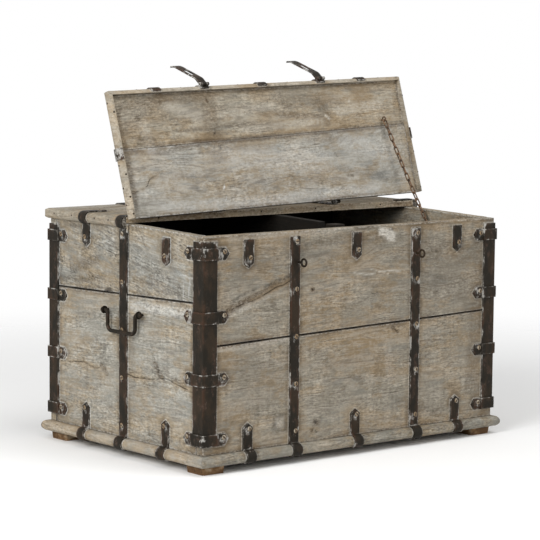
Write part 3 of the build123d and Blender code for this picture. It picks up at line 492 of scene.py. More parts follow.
@dataclass(frozen=True)
class StudioFloor:
    """Plain pale floor that keeps the shadow and fades out far from the object."""

    name: str = "studio_floor"
    colour: tuple = (0.97, 0.97, 0.965)
    clear_from: float = 0.75
    clear_to: float = 2.4

    def make(self) -> bpy.types.Material:
        """Builds the material."""
        s = Surface(self.name)
        away = s.vector_maths("LENGTH", {0: s.spot()}, "Value").step(self.clear_from, self.clear_to)
        shader = s.node("ShaderNodeBsdfDiffuse", None, {"Color": (*self.colour, 1.0)})
        clear = s.node("ShaderNodeBsdfTransparent")
        whole = s.node("ShaderNodeMixShader", None, {0: away, 1: shader, 2: clear})
        s.node("ShaderNodeOutputMaterial", None, {"Surface": whole})
        return s.material


class Palette:
    """Every material of the table, each made once."""

    def __init__(self) -> None:
        """Builds the materials."""
        self.board = LimedWood("limed_boards").make()
        self.lid_board = LimedWood("limed_lid_boards", pale=(0.55, 0.525, 0.465),
                                   grey=(0.32, 0.29, 0.235), wash=0.02, bite=0.85).make()
        self.foot = FootWood().make()
        self.iron = ForgedIron("forged_iron").make()
        self.round_iron = ForgedIron("forged_bar", rim=False).make()
        self.head = TarnishedHead().make()
        self.wire = RustyWire().make()


# Making meshes


KINDS = {"FLOAT": ("value", 1), "FLOAT_VECTOR": ("vector", 3), "FLOAT_COLOR": ("color", 4)}
SAME_POINT = 0.002 * MM
FLAT_DEG = 0.4
WAVE_SHARES = (1.0, 0.7, 0.5, 0.35)


def attach(mesh: bpy.types.Mesh, name: str, kind: str, values: "np.ndarray | tuple | float") -> None:
    """Stores one value for each point of a mesh.

    Args:
        mesh: The mesh.
        name: Attribute's name.
        kind: "FLOAT", "FLOAT_VECTOR" or "FLOAT_COLOR".
        values: One row for each point, or one for all.
    """
    key, width = KINDS[kind]
    rows = np.asarray(values, np.float32).reshape(-1, width)
    layer = mesh.attributes.new(name, kind, "POINT")
    layer.data.foreach_set(key, np.broadcast_to(rows, (len(mesh.vertices), width)).ravel())


def attach_wood(mesh: bpy.types.Mesh, grain: np.ndarray, iron: np.ndarray, tone_and_shade: tuple,
                edge: "np.ndarray | float", inside: "np.ndarray | float" = 0.0,
                crack: "np.ndarray | float" = FAR, marks: "np.ndarray | tuple" = (0, 0, 0, 0)) -> None:
    """Stores what the finish of limed wood reads at each point.

    Args:
        mesh: The mesh.
        grain: Coordinates with the grain along the first axis, in metres.
        iron: Distance from the nearest iron.
        tone_and_shade: Colour that the wood is multiplied by, and the strength of its fine grain.
        edge: Distance from the board's own edge.
        inside: Share of the painted shade of the case's inside.
        crack: Signed distance from the board's crack.
        marks: Strength of the marks of each channel.
    """
    attach(mesh, "grain", "FLOAT_VECTOR", grain)
    for name, values in (("iron", iron), ("edge", edge), ("inside", inside), ("crack", crack)):
        attach(mesh, name, "FLOAT", values)
    for name, values in (("marks", marks), ("tone_and_shade", tone_and_shade)):
        attach(mesh, name, "FLOAT_COLOR", values)


def points_of(mesh: bpy.types.Mesh) -> np.ndarray:
    """Every point of a mesh, one row each."""
    flat = np.zeros(len(mesh.vertices) * 3, np.float32)
    mesh.vertices.foreach_get("co", flat)
    return flat.reshape(-1, 3).astype(float)


def new_piece(name: str, mesh: bpy.types.Mesh, material: bpy.types.Material,
              crisp_deg: float | None = None) -> bpy.types.Object:
    """Links a finished mesh as an object with one material.

    Args:
        name: Name of the piece.
        mesh: Its mesh, in place.
        material: Its material.
        crisp_deg: Edges sharper than this stay crisp, or None where every edge is smooth.

    Returns:
        The object.
    """
    mesh.name = name
    mesh.materials.clear()
    mesh.materials.append(material)
    mesh.shade_smooth()
    if crisp_deg is not None:
        mesh.set_sharp_from_angle(angle=math.radians(crisp_deg))
    piece = bpy.data.objects.new(name, mesh)
    bpy.context.scene.collection.objects.link(piece)
    LOG.info("%s: %d points", name, len(mesh.vertices))
    return piece


def place_piece(name: str, mesh: bpy.types.Mesh, body: str, material: bpy.types.Material,
                nodes: tuple[str, ...] = (), crisp_deg: float = 35.0) -> None:
    """Dresses a finished mesh and lets it ride on its body.

    Args:
        name: Name of the piece.
        mesh: Its mesh, in place.
        body: Body that it rides on.
        material: Its material.
        nodes: Nodes of the model that it stands for.
        crisp_deg: Edges sharper than this stay crisp.
    """
    piece = new_piece(name, mesh, material, crisp_deg)
    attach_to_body(piece, body)
    if nodes:
        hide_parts(*nodes)


def dress(node: str, material: bpy.types.Material) -> None:
    """Gives a part of the model its material."""
    part = frame["nodes"][node]
    if not part.material_slots:
        part.data.materials.append(None)
    for entry in part.material_slots:
        entry.link = "OBJECT"
        entry.material = material


def merged(node: str) -> bmesh.types.BMesh:
    """Copy of a part's mesh with its doubles merged."""
    copy = bmesh.new()
    copy.from_mesh(frame["nodes"][node].data)
    bmesh.ops.remove_doubles(copy, verts=copy.verts, dist=SAME_POINT)
    return copy


def welded(node: str) -> bmesh.types.BMesh:
    """Copy of a part's mesh with its doubles merged and its flat faces joined."""
    copy = merged(node)
    bmesh.ops.dissolve_limit(copy, angle_limit=math.radians(FLAT_DEG), verts=copy.verts,
                             edges=copy.edges)
    return copy


def sliced(copy: bmesh.types.BMesh, axes: tuple[int, ...], pitch: float) -> None:
    """Cuts a mesh across some axes at every pitch and turns it into triangles."""
    for axis in axes:
        ends = [vert.co[axis] for vert in copy.verts]
        low, high = min(ends), max(ends)
        normal = Vector([float(i == axis) for i in range(3)])
        for i in range(1, int((high - low) / pitch)):
            bmesh.ops.bisect_plane(copy, geom=copy.verts[:] + copy.edges[:] + copy.faces[:],
                                   dist=SAME_POINT / 2, plane_co=normal * (low + i * pitch),
                                   plane_no=normal)
    bmesh.ops.triangulate(copy, faces=copy.faces)


def mesh_of(copy: bmesh.types.BMesh, name: str) -> bpy.types.Mesh:
    """Turns a worked copy into a mesh and lets the copy go."""
    mesh = bpy.data.meshes.new(name)
    copy.to_mesh(mesh)
    copy.free()
    return mesh


def tree_of(points: list) -> KDTree:
    """Search tree over a list of points."""
    tree = KDTree(len(points))
    for i, point in enumerate(points):
        tree.insert(point, i)
    tree.balance()
    return tree


def islands(node: str) -> list[np.ndarray]:
    """Points of each separate solid of a part."""
    copy = merged(node)
    copy.verts.ensure_lookup_table()
    seen, found = set(), []
    for start in copy.verts:
        if start.index in seen:
            continue
        stack, group = [start], []
        seen.add(start.index)
        while stack:
            vert = stack.pop()
            group.append(vert.co[:])
            for edge in vert.link_edges:
                other = edge.other_vert(vert)
                if other.index not in seen:
                    seen.add(other.index)
                    stack.append(other)
        found.append(np.array(group))
    copy.free()
    return found


def waves(a: np.ndarray, b: np.ndarray, seed: int, size: float) -> np.ndarray:
    """Smooth irregular field between 0 and 1 over two coordinates.

    Args:
        a: First coordinate.
        b: Second coordinate.
        seed: Fixes the field.
        size: Length of its features.

    Returns:
        One value for each point.
    """
    rng = np.random.default_rng(seed)
    total = np.zeros_like(a)
    for share in WAVE_SHARES:
        turn, phase, stretch = rng.uniform(0, 2 * math.pi, 3)
        pace = 2 * math.pi / (size * share) * (0.8 + 0.2 * math.cos(stretch))
        total += share * np.sin(pace * (a * math.cos(turn) + b * math.sin(turn)) + phase)
    return np.clip(total / (2 * sum(WAVE_SHARES)) + 0.5, 0, 1)


def from_run(u: np.ndarray, v: np.ndarray, a: np.ndarray, b: np.ndarray) -> tuple[np.ndarray, ...]:
    """Offset of each place from the nearest place of a straight run.

    Args:
        u: First coordinates.
        v: Second coordinates.
        a: Start of the run.
        b: Its end, the same as a for a spot.

    Returns:
        The offsets along each coordinate.
    """
    run = b - a
    length = max(float(run @ run), 1e-9)
    along = np.clip(((u - a[0]) * run[0] + (v - a[1]) * run[1]) / length, 0, 1)
    return u - a[0] - along * run[0], v - a[1] - along * run[1]


class IronMap:
    """Nearest flat iron to any point, for the stains and lime round it."""

    def __init__(self) -> None:
        """Gathers every iron part into one search tree."""
        corners, faces = [], []
        for name, part in frame["nodes"].items():
            if any(word in name for word in IRON_WORDS):
                start = len(corners)
                corners.extend(v.co.copy() for v in part.data.vertices)
                faces.extend([start + i for i in p.vertices] for p in part.data.polygons)
        self.tree = BVHTree.FromPolygons(corners, faces)

    def distances(self, points: np.ndarray) -> np.ndarray:
        """Distance from each point to the nearest iron, no more than FAR."""
        result = np.full(len(points), FAR)
        for i, point in enumerate(points):
            found = self.tree.find_nearest(point, FAR)
            if found[3] is not None:
                result[i] = found[3]
        return result


# Marks on the boards: what time left, and a painted shadow


@dataclass(frozen=True)
class Mark:
    """Stain, knot, scar, patch, hole or painted shadow on a board's face.

    points are places on the face in millimetres: one for a spot, more for a line. radius is its
    half width, stretch how much longer it is along the board, and depth how deep it is cut.
    """

    points: tuple
    radius: float
    channel: Channel = DARK
    strength: float = 1.0
    depth: float = 0.0
    stretch: float = 1.0
    ring: bool = False
    square: bool = False

    def amount(self, u: np.ndarray, v: np.ndarray) -> np.ndarray:
        """How much of the mark is at each place of the face, in millimetres."""
        best = np.full(len(u), np.inf)
        places = [np.array(p, float) for p in self.points]
        for a, b in zip(places, places[1:] or places):
            du, dv = from_run(u, v, a, b)
            du = du / self.stretch
            away = np.maximum(abs(du), abs(dv)) if self.square else np.hypot(du, dv)
            best = np.minimum(best, away)
        if self.ring:
            best = abs(best - self.radius) + self.radius * 0.4
        return np.clip((1.25 * self.radius - best) / (0.65 * self.radius), 0, 1) * self.strength


# Boards


@dataclass
class Plank:
    """One board, from its two long edges and its thickness, with worn arrises and marks.

    lower and upper are the points of the two edges of its hidden or lower face, from one end to the
    other, and through goes from that face to the opposite one. All are millimetres. wear_sizes are
    the lengths over which the wear of the arrises changes, along the board and round them. Each
    hollow is its depth, how much finer it changes across the board than along it, what it adds to
    the seed, and the length over which it changes.
    """

    name: str
    nodes: tuple
    lower: tuple
    upper: tuple
    through: tuple
    seed: int
    body: str = "case"
    face_axes: tuple = (0, 2)
    marks: tuple = ()
    under_marks: tuple = ()
    inside: float = 1.0
    shade_below: float = 0.0
    shade_fade: float = 30.0 * MM
    pitch: float = 5.0
    thick_pitch: float = 6.0
    near_ends: tuple = (0.0, 0.45, 1.1, 2.0, 3.4)
    arris: float = 1.1
    wear: float = 1.6
    wear_sizes: tuple = (90.0, 17.0)
    hollows: tuple = ((0.30, 3, 3, 140.0), (0.22, 5, 5, 44.0))
    opened: bool = False
    crack: tuple = ()
    tone_and_shade: tuple = (1.0, 1.0, 1.0, 0.8)
    lean: float = 0.0
    seams: tuple = (0.0, 0.0)
    seam_width: float = 1.9
    seam_fade: float = 0.8
    seam_size: float = 210.0
    crisp_deg: float = 60.0

    def __post_init__(self) -> None:
        """Works out the board's lines and its three lengths."""
        self.low, self.high, self.across = (np.array(v, float)
                                            for v in (self.lower, self.upper, self.through))
        self.sizes = np.array([np.linalg.norm(self.low[-1] - self.low[0]),
                               np.linalg.norm(self.high[0] - self.low[0]), np.linalg.norm(self.across)])

    def ticks(self, length: float, pitch: float) -> np.ndarray:
        """Places of the grid lines along a length, closer together at its ends."""
        near = [t for t in self.near_ends if t < length / 2]
        low, high = near[-1], length - near[-1]
        count = max(1, round((high - low) / pitch))
        middle = [low + (high - low) * i / count for i in range(1, count)]
        return np.array(near + middle + [length - t for t in reversed(near)])

    def build(self, irons: IronMap, materials: "Palette", matrix: Matrix) -> None:
        """Makes the board.

        Args:
            irons: Finds the nearest iron.
            materials: The finishes.
            matrix: Turns the lid's level boards to where they are.
        """
        index, local = self._grid()
        shaped, out = self._worn(local)
        world = self._to_world(shaped)
        u, v = (world[:, axis] for axis in self.face_axes)
        paint, sunk = self._painted(local, out, u, v)
        world = self._to_world(shaped - out * sunk[:, None]) * MM
        if self.opened:
            turned = np.array(matrix)
            world = world @ turned[:3, :3].T + turned[:3, 3]
        mesh = self._mesh(world, index)
        # Painted shade on the walls' inner faces: whole low down, fading out upward towards the rim.
        below = np.clip((self.shade_below - world[:, 2]) / self.shade_fade, 0, 1)
        inner = np.where(out[:, 2] < -0.3, self.inside * below, 0.0)
        grain = local * MM + self.seed * 0.731
        grain[:, 1] -= math.tan(math.radians(self.lean)) * local[:, 0] * MM
        edge = np.sort(np.minimum(local, self.sizes - local), axis=1)[:, 1] * MM
        attach_wood(mesh, grain, irons.distances(world), self.tone_and_shade, edge, inner,
                    self._from_crack(u, v), paint)
        material = materials.lid_board if self.opened else materials.board
        place_piece(self.name, mesh, self.body, material, self.nodes, self.crisp_deg)

    def _grid(self) -> tuple[np.ndarray, np.ndarray]:
        """Number of each outer point of the board's grid, or -1, and the points' places."""
        pitches = (self.pitch, self.pitch, self.thick_pitch)
        grids = [self.ticks(size, pitch) for size, pitch in zip(self.sizes, pitches)]
        outer = np.zeros([len(grid) for grid in grids], bool)
        outer[[0, -1]] = outer[:, [0, -1]] = outer[:, :, [0, -1]] = True
        index = np.full(outer.shape, -1)
        index[outer] = np.arange(outer.sum())
        return index, np.stack(np.meshgrid(*grids, indexing="ij"), -1)[outer]

    def _worn(self, local: np.ndarray) -> tuple[np.ndarray, np.ndarray]:
        """The points with the arrises rounded and worn, and the way that each looks."""
        along, broad, thick = local.T
        worn = waves(along, broad, self.seed, self.wear_sizes[0])
        worn = worn * waves(along, thick * 3, self.seed + 7, self.wear_sizes[1])
        radius = (self.arris + self.wear * worn ** 1.5 * 2.2)[:, None]
        core = np.clip(local, radius, self.sizes - radius)
        out = local - core
        out /= np.maximum(np.linalg.norm(out, axis=1), 1e-9)[:, None]
        return core + out * radius, out

    def _painted(self, local: np.ndarray, out: np.ndarray, u: np.ndarray,
                 v: np.ndarray) -> tuple[np.ndarray, np.ndarray]:
        """Marks of each channel at the points, and how deep each point is sunk."""
        along, broad = local[:, 0], local[:, 1]
        sunk = sum(depth * waves(along, broad * squeeze, self.seed + step, size)
                   for depth, squeeze, step, size in self.hollows)
        paint = np.zeros((len(local), 4))
        for marks, side in ((self.marks, out[:, 2] > 0.9), (self.under_marks, out[:, 2] < -0.9)):
            for mark in marks:
                amount = mark.amount(u, v) * side
                paint[:, mark.channel.value] = np.maximum(paint[:, mark.channel.value], amount)
                sunk += amount * mark.depth
        for seam, away in zip(self.seams, (broad, self.sizes[1] - broad)):
            dark = np.clip((self.seam_width - away) / self.seam_fade, 0, 1) * seam
            dark *= 0.45 + 0.75 * waves(along, along, self.seed + 9, self.seam_size)
            paint[:, DARK.value] = np.maximum(paint[:, DARK.value], dark)
        return paint, sunk

    def _from_crack(self, u: np.ndarray, v: np.ndarray) -> np.ndarray:
        """Signed distance from the board's crack, in metres, far where there is none."""
        best = np.full(len(u), FAR / MM)
        places = [np.array(p, float) for p in self.crack]
        for a, b in zip(places, places[1:]):
            du, dv = from_run(u, v, a, b)
            side = np.sign((b - a)[0] * dv - (b - a)[1] * du)
            away = np.hypot(du, dv)
            best = np.where(away < abs(best), away * np.where(side == 0, 1, side), best)
        return best * MM

    def _to_world(self, local: np.ndarray) -> np.ndarray:
        """Turns the board's own lengths into places, in millimetres."""
        share = local / self.sizes
        knots = np.linalg.norm(self.low - self.low[0], axis=1) / self.sizes[0]
        ends = [np.stack([np.interp(share[:, 0], knots, line[:, i]) for i in range(3)], 1)
                for line in (self.low, self.high)]
        return ends[0] + (ends[1] - ends[0]) * share[:, 1:2] + self.across * share[:, 2:3]

    def _mesh(self, world: np.ndarray, index: np.ndarray) -> bpy.types.Mesh:
        """Mesh of the board's six sides, faces outward."""
        lines = np.cross(self.low[-1] - self.low[0], self.high[0] - self.low[0])
        flip = np.dot(lines, self.across) < 0
        quads = []
        for axis in range(3):
            for end, swap in ((0, True), (-1, False)):
                side = np.take(index, end, axis)
                a, b, c, d = side[:-1, :-1], side[1:, :-1], side[1:, 1:], side[:-1, 1:]
                quad = np.stack([a, b, c, d], -1).reshape(-1, 4)
                if (swap != flip) != (axis == 1):
                    quad = quad[:, ::-1]
                quads.append(quad)
        mesh = bpy.data.meshes.new("plank")
        mesh.from_pydata(world.tolist(), [], np.concatenate(quads).tolist())
        mesh.validate()
        return mesh


@dataclass
class Boards:
    """Every board of the case, of the fixed top and of the lid, from the case's own sizes.

    shade_z is the height in metres below which painted shade darkens the walls' inner faces, and
    right_shade_z the one for the right wall. The lean is the one in degrees of the grain of the left wall's
    upper plank.
    """

    half_w: float = 400.0
    half_d: float = 265.0
    wall_t: float = 22.0
    wall_z: float = 39.0
    rim_z: float = 474.0
    rim_rise: float = 7.4
    top_t: float = 14.0
    slit_y: float = -8.0
    seam: float = 0.8
    front_seam: tuple = (255.02, 274.99)
    side_seam: tuple = (341.02, 331.02)
    lid_under: float = 476.6
    lid_top: float = 488.0
    lid_half: float = 401.0
    lid_front: float = -266.0
    lid_rear: float = -8.75
    lid_seam: tuple = (-151.52, -166.45)
    lid_open_deg: float = 107.8
    rail: tuple = (-7.25, 52.75)
    partition: tuple = (-155.0, 243.0, 9.0)
    post_front: float = -212.025
    post_side: float = 30.0
    floor_t: float = 12.0
    floor_count: int = 4
    floor_play: float = 0.6
    top_seams: tuple = (145.1, 212.4)
    top_gap: float = 0.6
    lid_gap: float = 0.15
    left_lean: float = 8.5
    shade_z: float = 0.485
    right_shade_z: float = 0.445

    def rim_at(self, y: float) -> float:
        """Height of the sides' sloping rim in front of the hinge."""
        return self.rim_z + self.rim_rise * (y + self.half_d) / (self.half_d + self.slit_y)

    def lid_turn(self) -> Matrix:
        """Turns a place of the level, shut lid to where the lid rests open."""
        slope = Matrix.Rotation(math.atan(self.rim_rise / (self.half_d + self.slit_y)), 4, "X")
        rim = Matrix.Translation(Vector((0.0, -self.half_d, self.rim_z)) * MM)
        hinge = next(joint for joint in frame["joints"] if joint["name"] == "lid_hinge")
        line = Matrix.Translation(Vector(hinge["pos_m"]))
        turn = Matrix.Rotation(-math.radians(self.lid_open_deg), 4, Vector(hinge["axis"]))
        return line @ turn @ line.inverted() @ rim @ slope @ rim.inverted()

    def front_and_back(self) -> list[Plank]:
        """The four planks of the front and back walls."""
        w, z, rim, inner = self.half_w, self.wall_z, self.rim_z, self.half_d - self.wall_t
        s0, s1 = self.front_seam
        planks = []
        for side, sign, top, seed, pitch, marks in (
                ("front", -1, rim, 3, 3.4, FRONT_MARKS),
                ("back", 1, rim + self.rim_rise, 11, 6.0, BACK_MARKS)):
            for part, low, high in (("lower", (z, z), (s0 - self.seam, s1 - self.seam)),
                                    ("upper", (s0 + self.seam, s1 + self.seam), (top, top))):
                lines = [((-w, sign * inner, left), (w, sign * inner, right)) for left, right in (low, high)]
                planks.append(Plank(
                    f"{side}_plank_{part}", (f"{side}_board_{part}",), *lines, (0, sign * self.wall_t, 0),
                    seed + (part == "upper") * 5, pitch=pitch, marks=marks, shade_below=self.shade_z,
                    crack=CRACKS.get((side, part), ()), tone_and_shade=TONES_AND_SHADES[side],
                    seams=(0.0, 1.0) if part == "lower" else (1.0, 0.0)))
        return planks

    def sides(self) -> list[Plank]:
        """The four planks of the left and right walls."""
        z, inner_d, inner_w = self.wall_z, self.half_d - self.wall_t, self.half_w - self.wall_t
        a0, a1 = self.side_seam
        seams = (a0, a0 + (a1 - a0) * (self.slit_y + inner_d) / (2 * inner_d), a1)
        back = self.rim_z + self.rim_rise
        ends = (-inner_d, self.slit_y, inner_d)
        planks = []
        for side, sign, seed, pitch, marks, shade_below in (
                ("left", -1, 21, 3.4, LEFT_MARKS, self.shade_z),
                ("right", 1, 31, 6.0, RIGHT_MARKS, self.right_shade_z)):
            for part, low, high in (
                    ("lower", (z, z, z), [seam - self.seam for seam in seams]),
                    ("upper", [seam + self.seam for seam in seams], (self.rim_at(-inner_d), back, back))):
                lines = [tuple((sign * inner_w, y, h) for y, h in zip(ends, line)) for line in (low, high)]
                planks.append(Plank(
                    f"{side}_plank_{part}", (f"{side}_board_{part}",), *lines, (sign * self.wall_t, 0, 0),
                    seed + (part == "upper") * 4, face_axes=(1, 2), pitch=pitch, marks=marks,
                    shade_below=shade_below, crack=CRACKS.get((side, part), ()),
                    tone_and_shade=TONES_AND_SHADES[f"{side}_{part}"], seams=(0.0, 0.9) if part == "lower" else (0.9, 0.0),
                    lean=self.left_lean if (side, part) == ("left", "upper") else 0.0))
        return planks

    def inside(self) -> list[Plank]:
        """Partition and the batten in front of it, coloured near black: painted shade of the case's inside.
        """
        front, rear, half = self.partition
        floor, back = self.wall_z + self.floor_t, self.rim_z + self.rim_rise
        ends = (front, self.slit_y, rear)
        heights = (self.rim_at(front), back, back)
        x, y, side = -self.post_side / 2, self.post_front, self.post_side
        top = self.rim_at(y)
        return [
            Plank("partition_board", ("centre_partition",), tuple((-half, y, floor) for y in ends),
                  tuple((-half, y, h) for y, h in zip(ends, heights)), (2 * half, 0, 0), 41,
                  face_axes=(1, 2), pitch=9.0, tone_and_shade=TONES_AND_SHADES["partition"], inside=0.0),
            Plank("centre_post_batten", ("centre_post",), ((x, y, floor), (x, y, top)),
                  ((x, y + side, floor), (x, y + side, top)), (side, 0, 0), 43,
                  face_axes=(2, 1), pitch=8.0, tone_and_shade=TONES_AND_SHADES["post"], inside=0.0)]

    def top(self) -> list[Plank]:
        """Fixed rear boards and the rail that carries the hinges."""
        w, low, t = self.half_w, self.rim_z + self.rim_rise, self.top_t
        y0, y1 = self.rail
        seams = (y1, *self.top_seams, self.half_d)
        made = [Plank("hinge_rail_board", ("hinge_rail",), ((-w, y0, low), (w, y0, low)),
                      ((-w, y1, low), (w, y1, low)), (0, 0, t), 51, face_axes=(0, 1),
                      marks=TOP_MARKS, inside=0.0, pitch=3.4, tone_and_shade=TONES_AND_SHADES["rail"])]
        for i, (a, b) in enumerate(zip(seams, seams[1:])):
            a += self.top_gap
            made.append(Plank(f"rear_top_plank_{i + 1}", ("rear_top_boards",) if i == 0 else (),
                              ((-w, a, low), (w, a, low)), ((-w, b, low), (w, b, low)), (0, 0, t),
                              55 + 3 * i, face_axes=(0, 1), marks=TOP_MARKS, inside=0.0, pitch=6.0))
        return made

    def lid(self) -> list[Plank]:
        """The two boards of the lid, level."""
        w, z, t = self.lid_half, self.lid_under, self.lid_top - self.lid_under
        s0, s1 = self.lid_seam
        gap = self.lid_gap
        lines = (("front", (self.lid_front, self.lid_front), (s0 - gap, s1 - gap), 61),
                 ("rear", (s0 + gap, s1 + gap), (self.lid_rear, self.lid_rear), 67))
        return [Plank(f"lid_plank_{part}", (f"lid_board_{part}",), ((-w, low[0], z), (w, low[1], z)),
                      ((-w, high[0], z), (w, high[1], z)), (0, 0, t), seed, "lid", (0, 1),
                      marks=TOP_MARKS, under_marks=LID_MARKS, inside=0.0, pitch=3.4, wear=0.7,
                      crack=CRACKS.get(("lid", part), ()), opened=True, arris=0.35,
                      tone_and_shade=TONES_AND_SHADES[f"lid_{part}"])
                for part, low, high, seed in lines]

    def bottom(self) -> list[Plank]:
        """The boards of the floor, darkened: painted shade of the case's inside."""
        half_d, z, gap = self.half_d - self.wall_t, self.wall_z, self.floor_play / 2
        w = self.half_w - self.wall_t - self.floor_play
        step = 2 * half_d / self.floor_count
        planks = []
        for i in range(self.floor_count):
            lines = [((-w, y, z), (w, y, z))
                     for y in (step * i - half_d + gap, step * (i + 1) - half_d - gap)]
            planks.append(Plank(f"floor_plank_{i + 1}", ("bottom_boards",) if i == 0 else (), *lines,
                                (0, 0, self.floor_t), 71 + i, face_axes=(0, 1), pitch=12.0,
                                tone_and_shade=TONES_AND_SHADES["floor"], inside=0.0))
        return planks

    def build(self, irons: IronMap, materials: Palette, matrix: Matrix) -> None:
        """Makes every board."""
        walls = self.front_and_back() + self.sides()
        for plank in walls + self.inside() + self.top() + self.lid() + self.bottom():
            plank.build(irons, materials, matrix)


# Colour each board or strip is multiplied by, and the strength of its fine grain. The front faces and the
# front base strip are darker and the left faces lighter: painted shade and light of each side, over the
# wood's own tone. The rail is lighter. partition, post and floor are near black: painted shade of the case's
# inside.
TONES_AND_SHADES = {
    "front": (0.765, 0.74, 0.705, 0.70),
    "back": (0.84, 0.83, 0.80, 0.80),
    "left_upper": (0.79, 0.825, 0.865, 1.10),
    "left_lower": (0.86, 0.88, 0.90, 0.85),
    "right_upper": (0.84, 0.84, 0.82, 0.90),
    "right_lower": (0.86, 0.85, 0.83, 0.80),
    "lid_front": (0.86, 0.825, 0.765, 0.88),
    "lid_rear": (0.96, 0.985, 1.02, 0.78),
    "partition": (0.020, 0.017, 0.013, 0.60),
    "post": (0.040, 0.032, 0.024, 0.60),
    "floor": (0.08, 0.07, 0.06, 0.60),
    "rail": (1.22, 1.12, 0.97, 0.60),
    "strip": (0.95, 0.92, 0.88, 0.70),
    "base_moulding_front": (0.71, 0.72, 0.72, 0.80),
    "base_moulding_left": (0.98, 0.97, 0.97, 0.80),
}
CRACKS = {
    ("front", "upper"): ((-346, 318), (-330, 326), (-296, 337), (-272, 341), (-253, 348), (-219, 362),
                         (-196, 366), (-178, 374)),
    ("left", "lower"): ((242, 171), (200, 174), (138, 179), (104, 172), (70, 175), (13, 175), (-40, 168),
                        (-150, 178), (-205, 168), (-242, 160)),
    ("lid", "rear"): ((-384, -64), (-366, -66), (-350, -74), (-340, -86), (-321, -95)),
    ("right", "lower"): ((-230, 180), (-60, 172), (90, 182), (240, 176)),
    ("back", "upper"): ((-380, 360), (-140, 352), (120, 366), (390, 358)),
}
FRONT_MARKS = (
    Mark(((-352, 316), (-330, 328), (-296, 341), (-262, 350)), 7.5, BROWN, 0.74, 0.2, 1.6),
    Mark(((-262, 348), (-225, 364), (-176, 378)), 7.0, BROWN, 0.68, 0.2, 1.6),
    Mark(((-346, 312), (-300, 334)), 3.2, BROWN, 0.95, 0.3, 1.4),
    Mark(((-340, 312), (-290, 330), (-240, 346)), 6.0, PALE, 0.30, 0.0, 2.0),
    Mark(((-330, 340), (-312, 350), (-292, 357), (-270, 362)), 3.8, DARK, 0.44, 0.3, 1.4),
    Mark(((-242, 366), (-216, 375), (-180, 385)), 3.8, DARK, 0.44, 0.3, 1.4),
    Mark(((-380, 220), (-200, 180), (-330, 120)), 30.0, BROWN, 0.16, 0.0, 1.6),
    Mark(((-300, 400), (-200, 440)), 30.0, BROWN, 0.16, 0.0, 1.8),
    Mark(((-395, 247), (-300, 250), (-180, 255)), 5.0, PALE, 0.34, 0.0, 2.0),
    Mark(((-330, 466), (-200, 468), (-60, 469)), 4.5, PALE, 0.30, 0.0, 3.0),
    Mark(((100, 150), (90, 220)), 14.0, PALE, 0.20, 0.0, 0.8),
    Mark(((72, 462), (86, 458), (98, 447)), 9.0, PALE, 1.0, 0.0, 1.2, square=True),
    Mark(((92, 460), (97, 464)), 5.0, DARK, 0.85, 0.5),
    Mark(((-7, 379), (22, 375), (52, 373)), 1.6, PALE, 0.6, 0.2),
    Mark(((62, 378), (96, 377), (123, 375)), 1.9, PALE, 0.65, 0.2),
    Mark(((40, 384), (90, 371)), 1.3, PALE, 0.45, 0.2),
    Mark(((-118, 353),), 6.0, BROWN, 0.9, 0.4),
    Mark(((-116, 352),), 2.4, DARK, 0.9, 0.6),
    Mark(((-203, 86),), 13.0, DARK, 0.45, 0.4, 1.0, ring=True, square=True),
    Mark(((-203, 86),), 12.0, PALE, 0.38, 0.0, 1.0, square=True),
    Mark(((-107, 77),), 3.6, DARK, 1.0, 2.5),
    Mark(((-106, 77),), 9.0, BROWN, 0.6, 0.2, 1.4),
    Mark(((-117, 62),), 5.5, BROWN, 0.8, 0.4),
    Mark(((-108, 60), (-104, 56)), 2.2, DARK, 0.75, 0.4),
    Mark(((105, 257), (112, 250), (118, 246)), 4.0, BROWN, 0.85, 0.3, 1.5),
    Mark(((80, 261), (130, 263)), 1.2, DARK, 0.6, 0.2),
    Mark(((-370, 262), (-250, 265)), 4.0, BROWN, 0.45, 0.0, 2.0),
    Mark(((-340, 120), (-270, 140)), 22.0, BROWN, 0.20, 0.0, 2.2),
    Mark(((180, 420), (300, 400)), 30.0, BROWN, 0.30, 0.0, 2.0),
    Mark(((210, 350), (370, 310)), 34.0, BROWN, 0.28, 0.0, 2.0),
    Mark(((340, 110), (365, 440)), 18.0, BROWN, 0.34, 0.0, 1.2),
    Mark(((-380, 120), (-376, 430)), 14.0, BROWN, 0.34, 0.0, 1.0),
    Mark(((-150, 440), (-40, 452), (60, 446)), 12.0, BROWN, 0.34, 0.0, 2.4),
    Mark(((-60, 200), (60, 190)), 20.0, BROWN, 0.14, 0.0, 2.6),
    Mark(((-20, 166), (22, 158)), 2.0, BROWN, 0.5, 0.2, 2.0),
    Mark(((140, 96), (230, 70)), 12.0, BROWN, 0.24, 0.0, 2.4),
    Mark(((-120, 418), (40, 432)), 14.0, BROWN, 0.16, 0.0, 3.0),
)
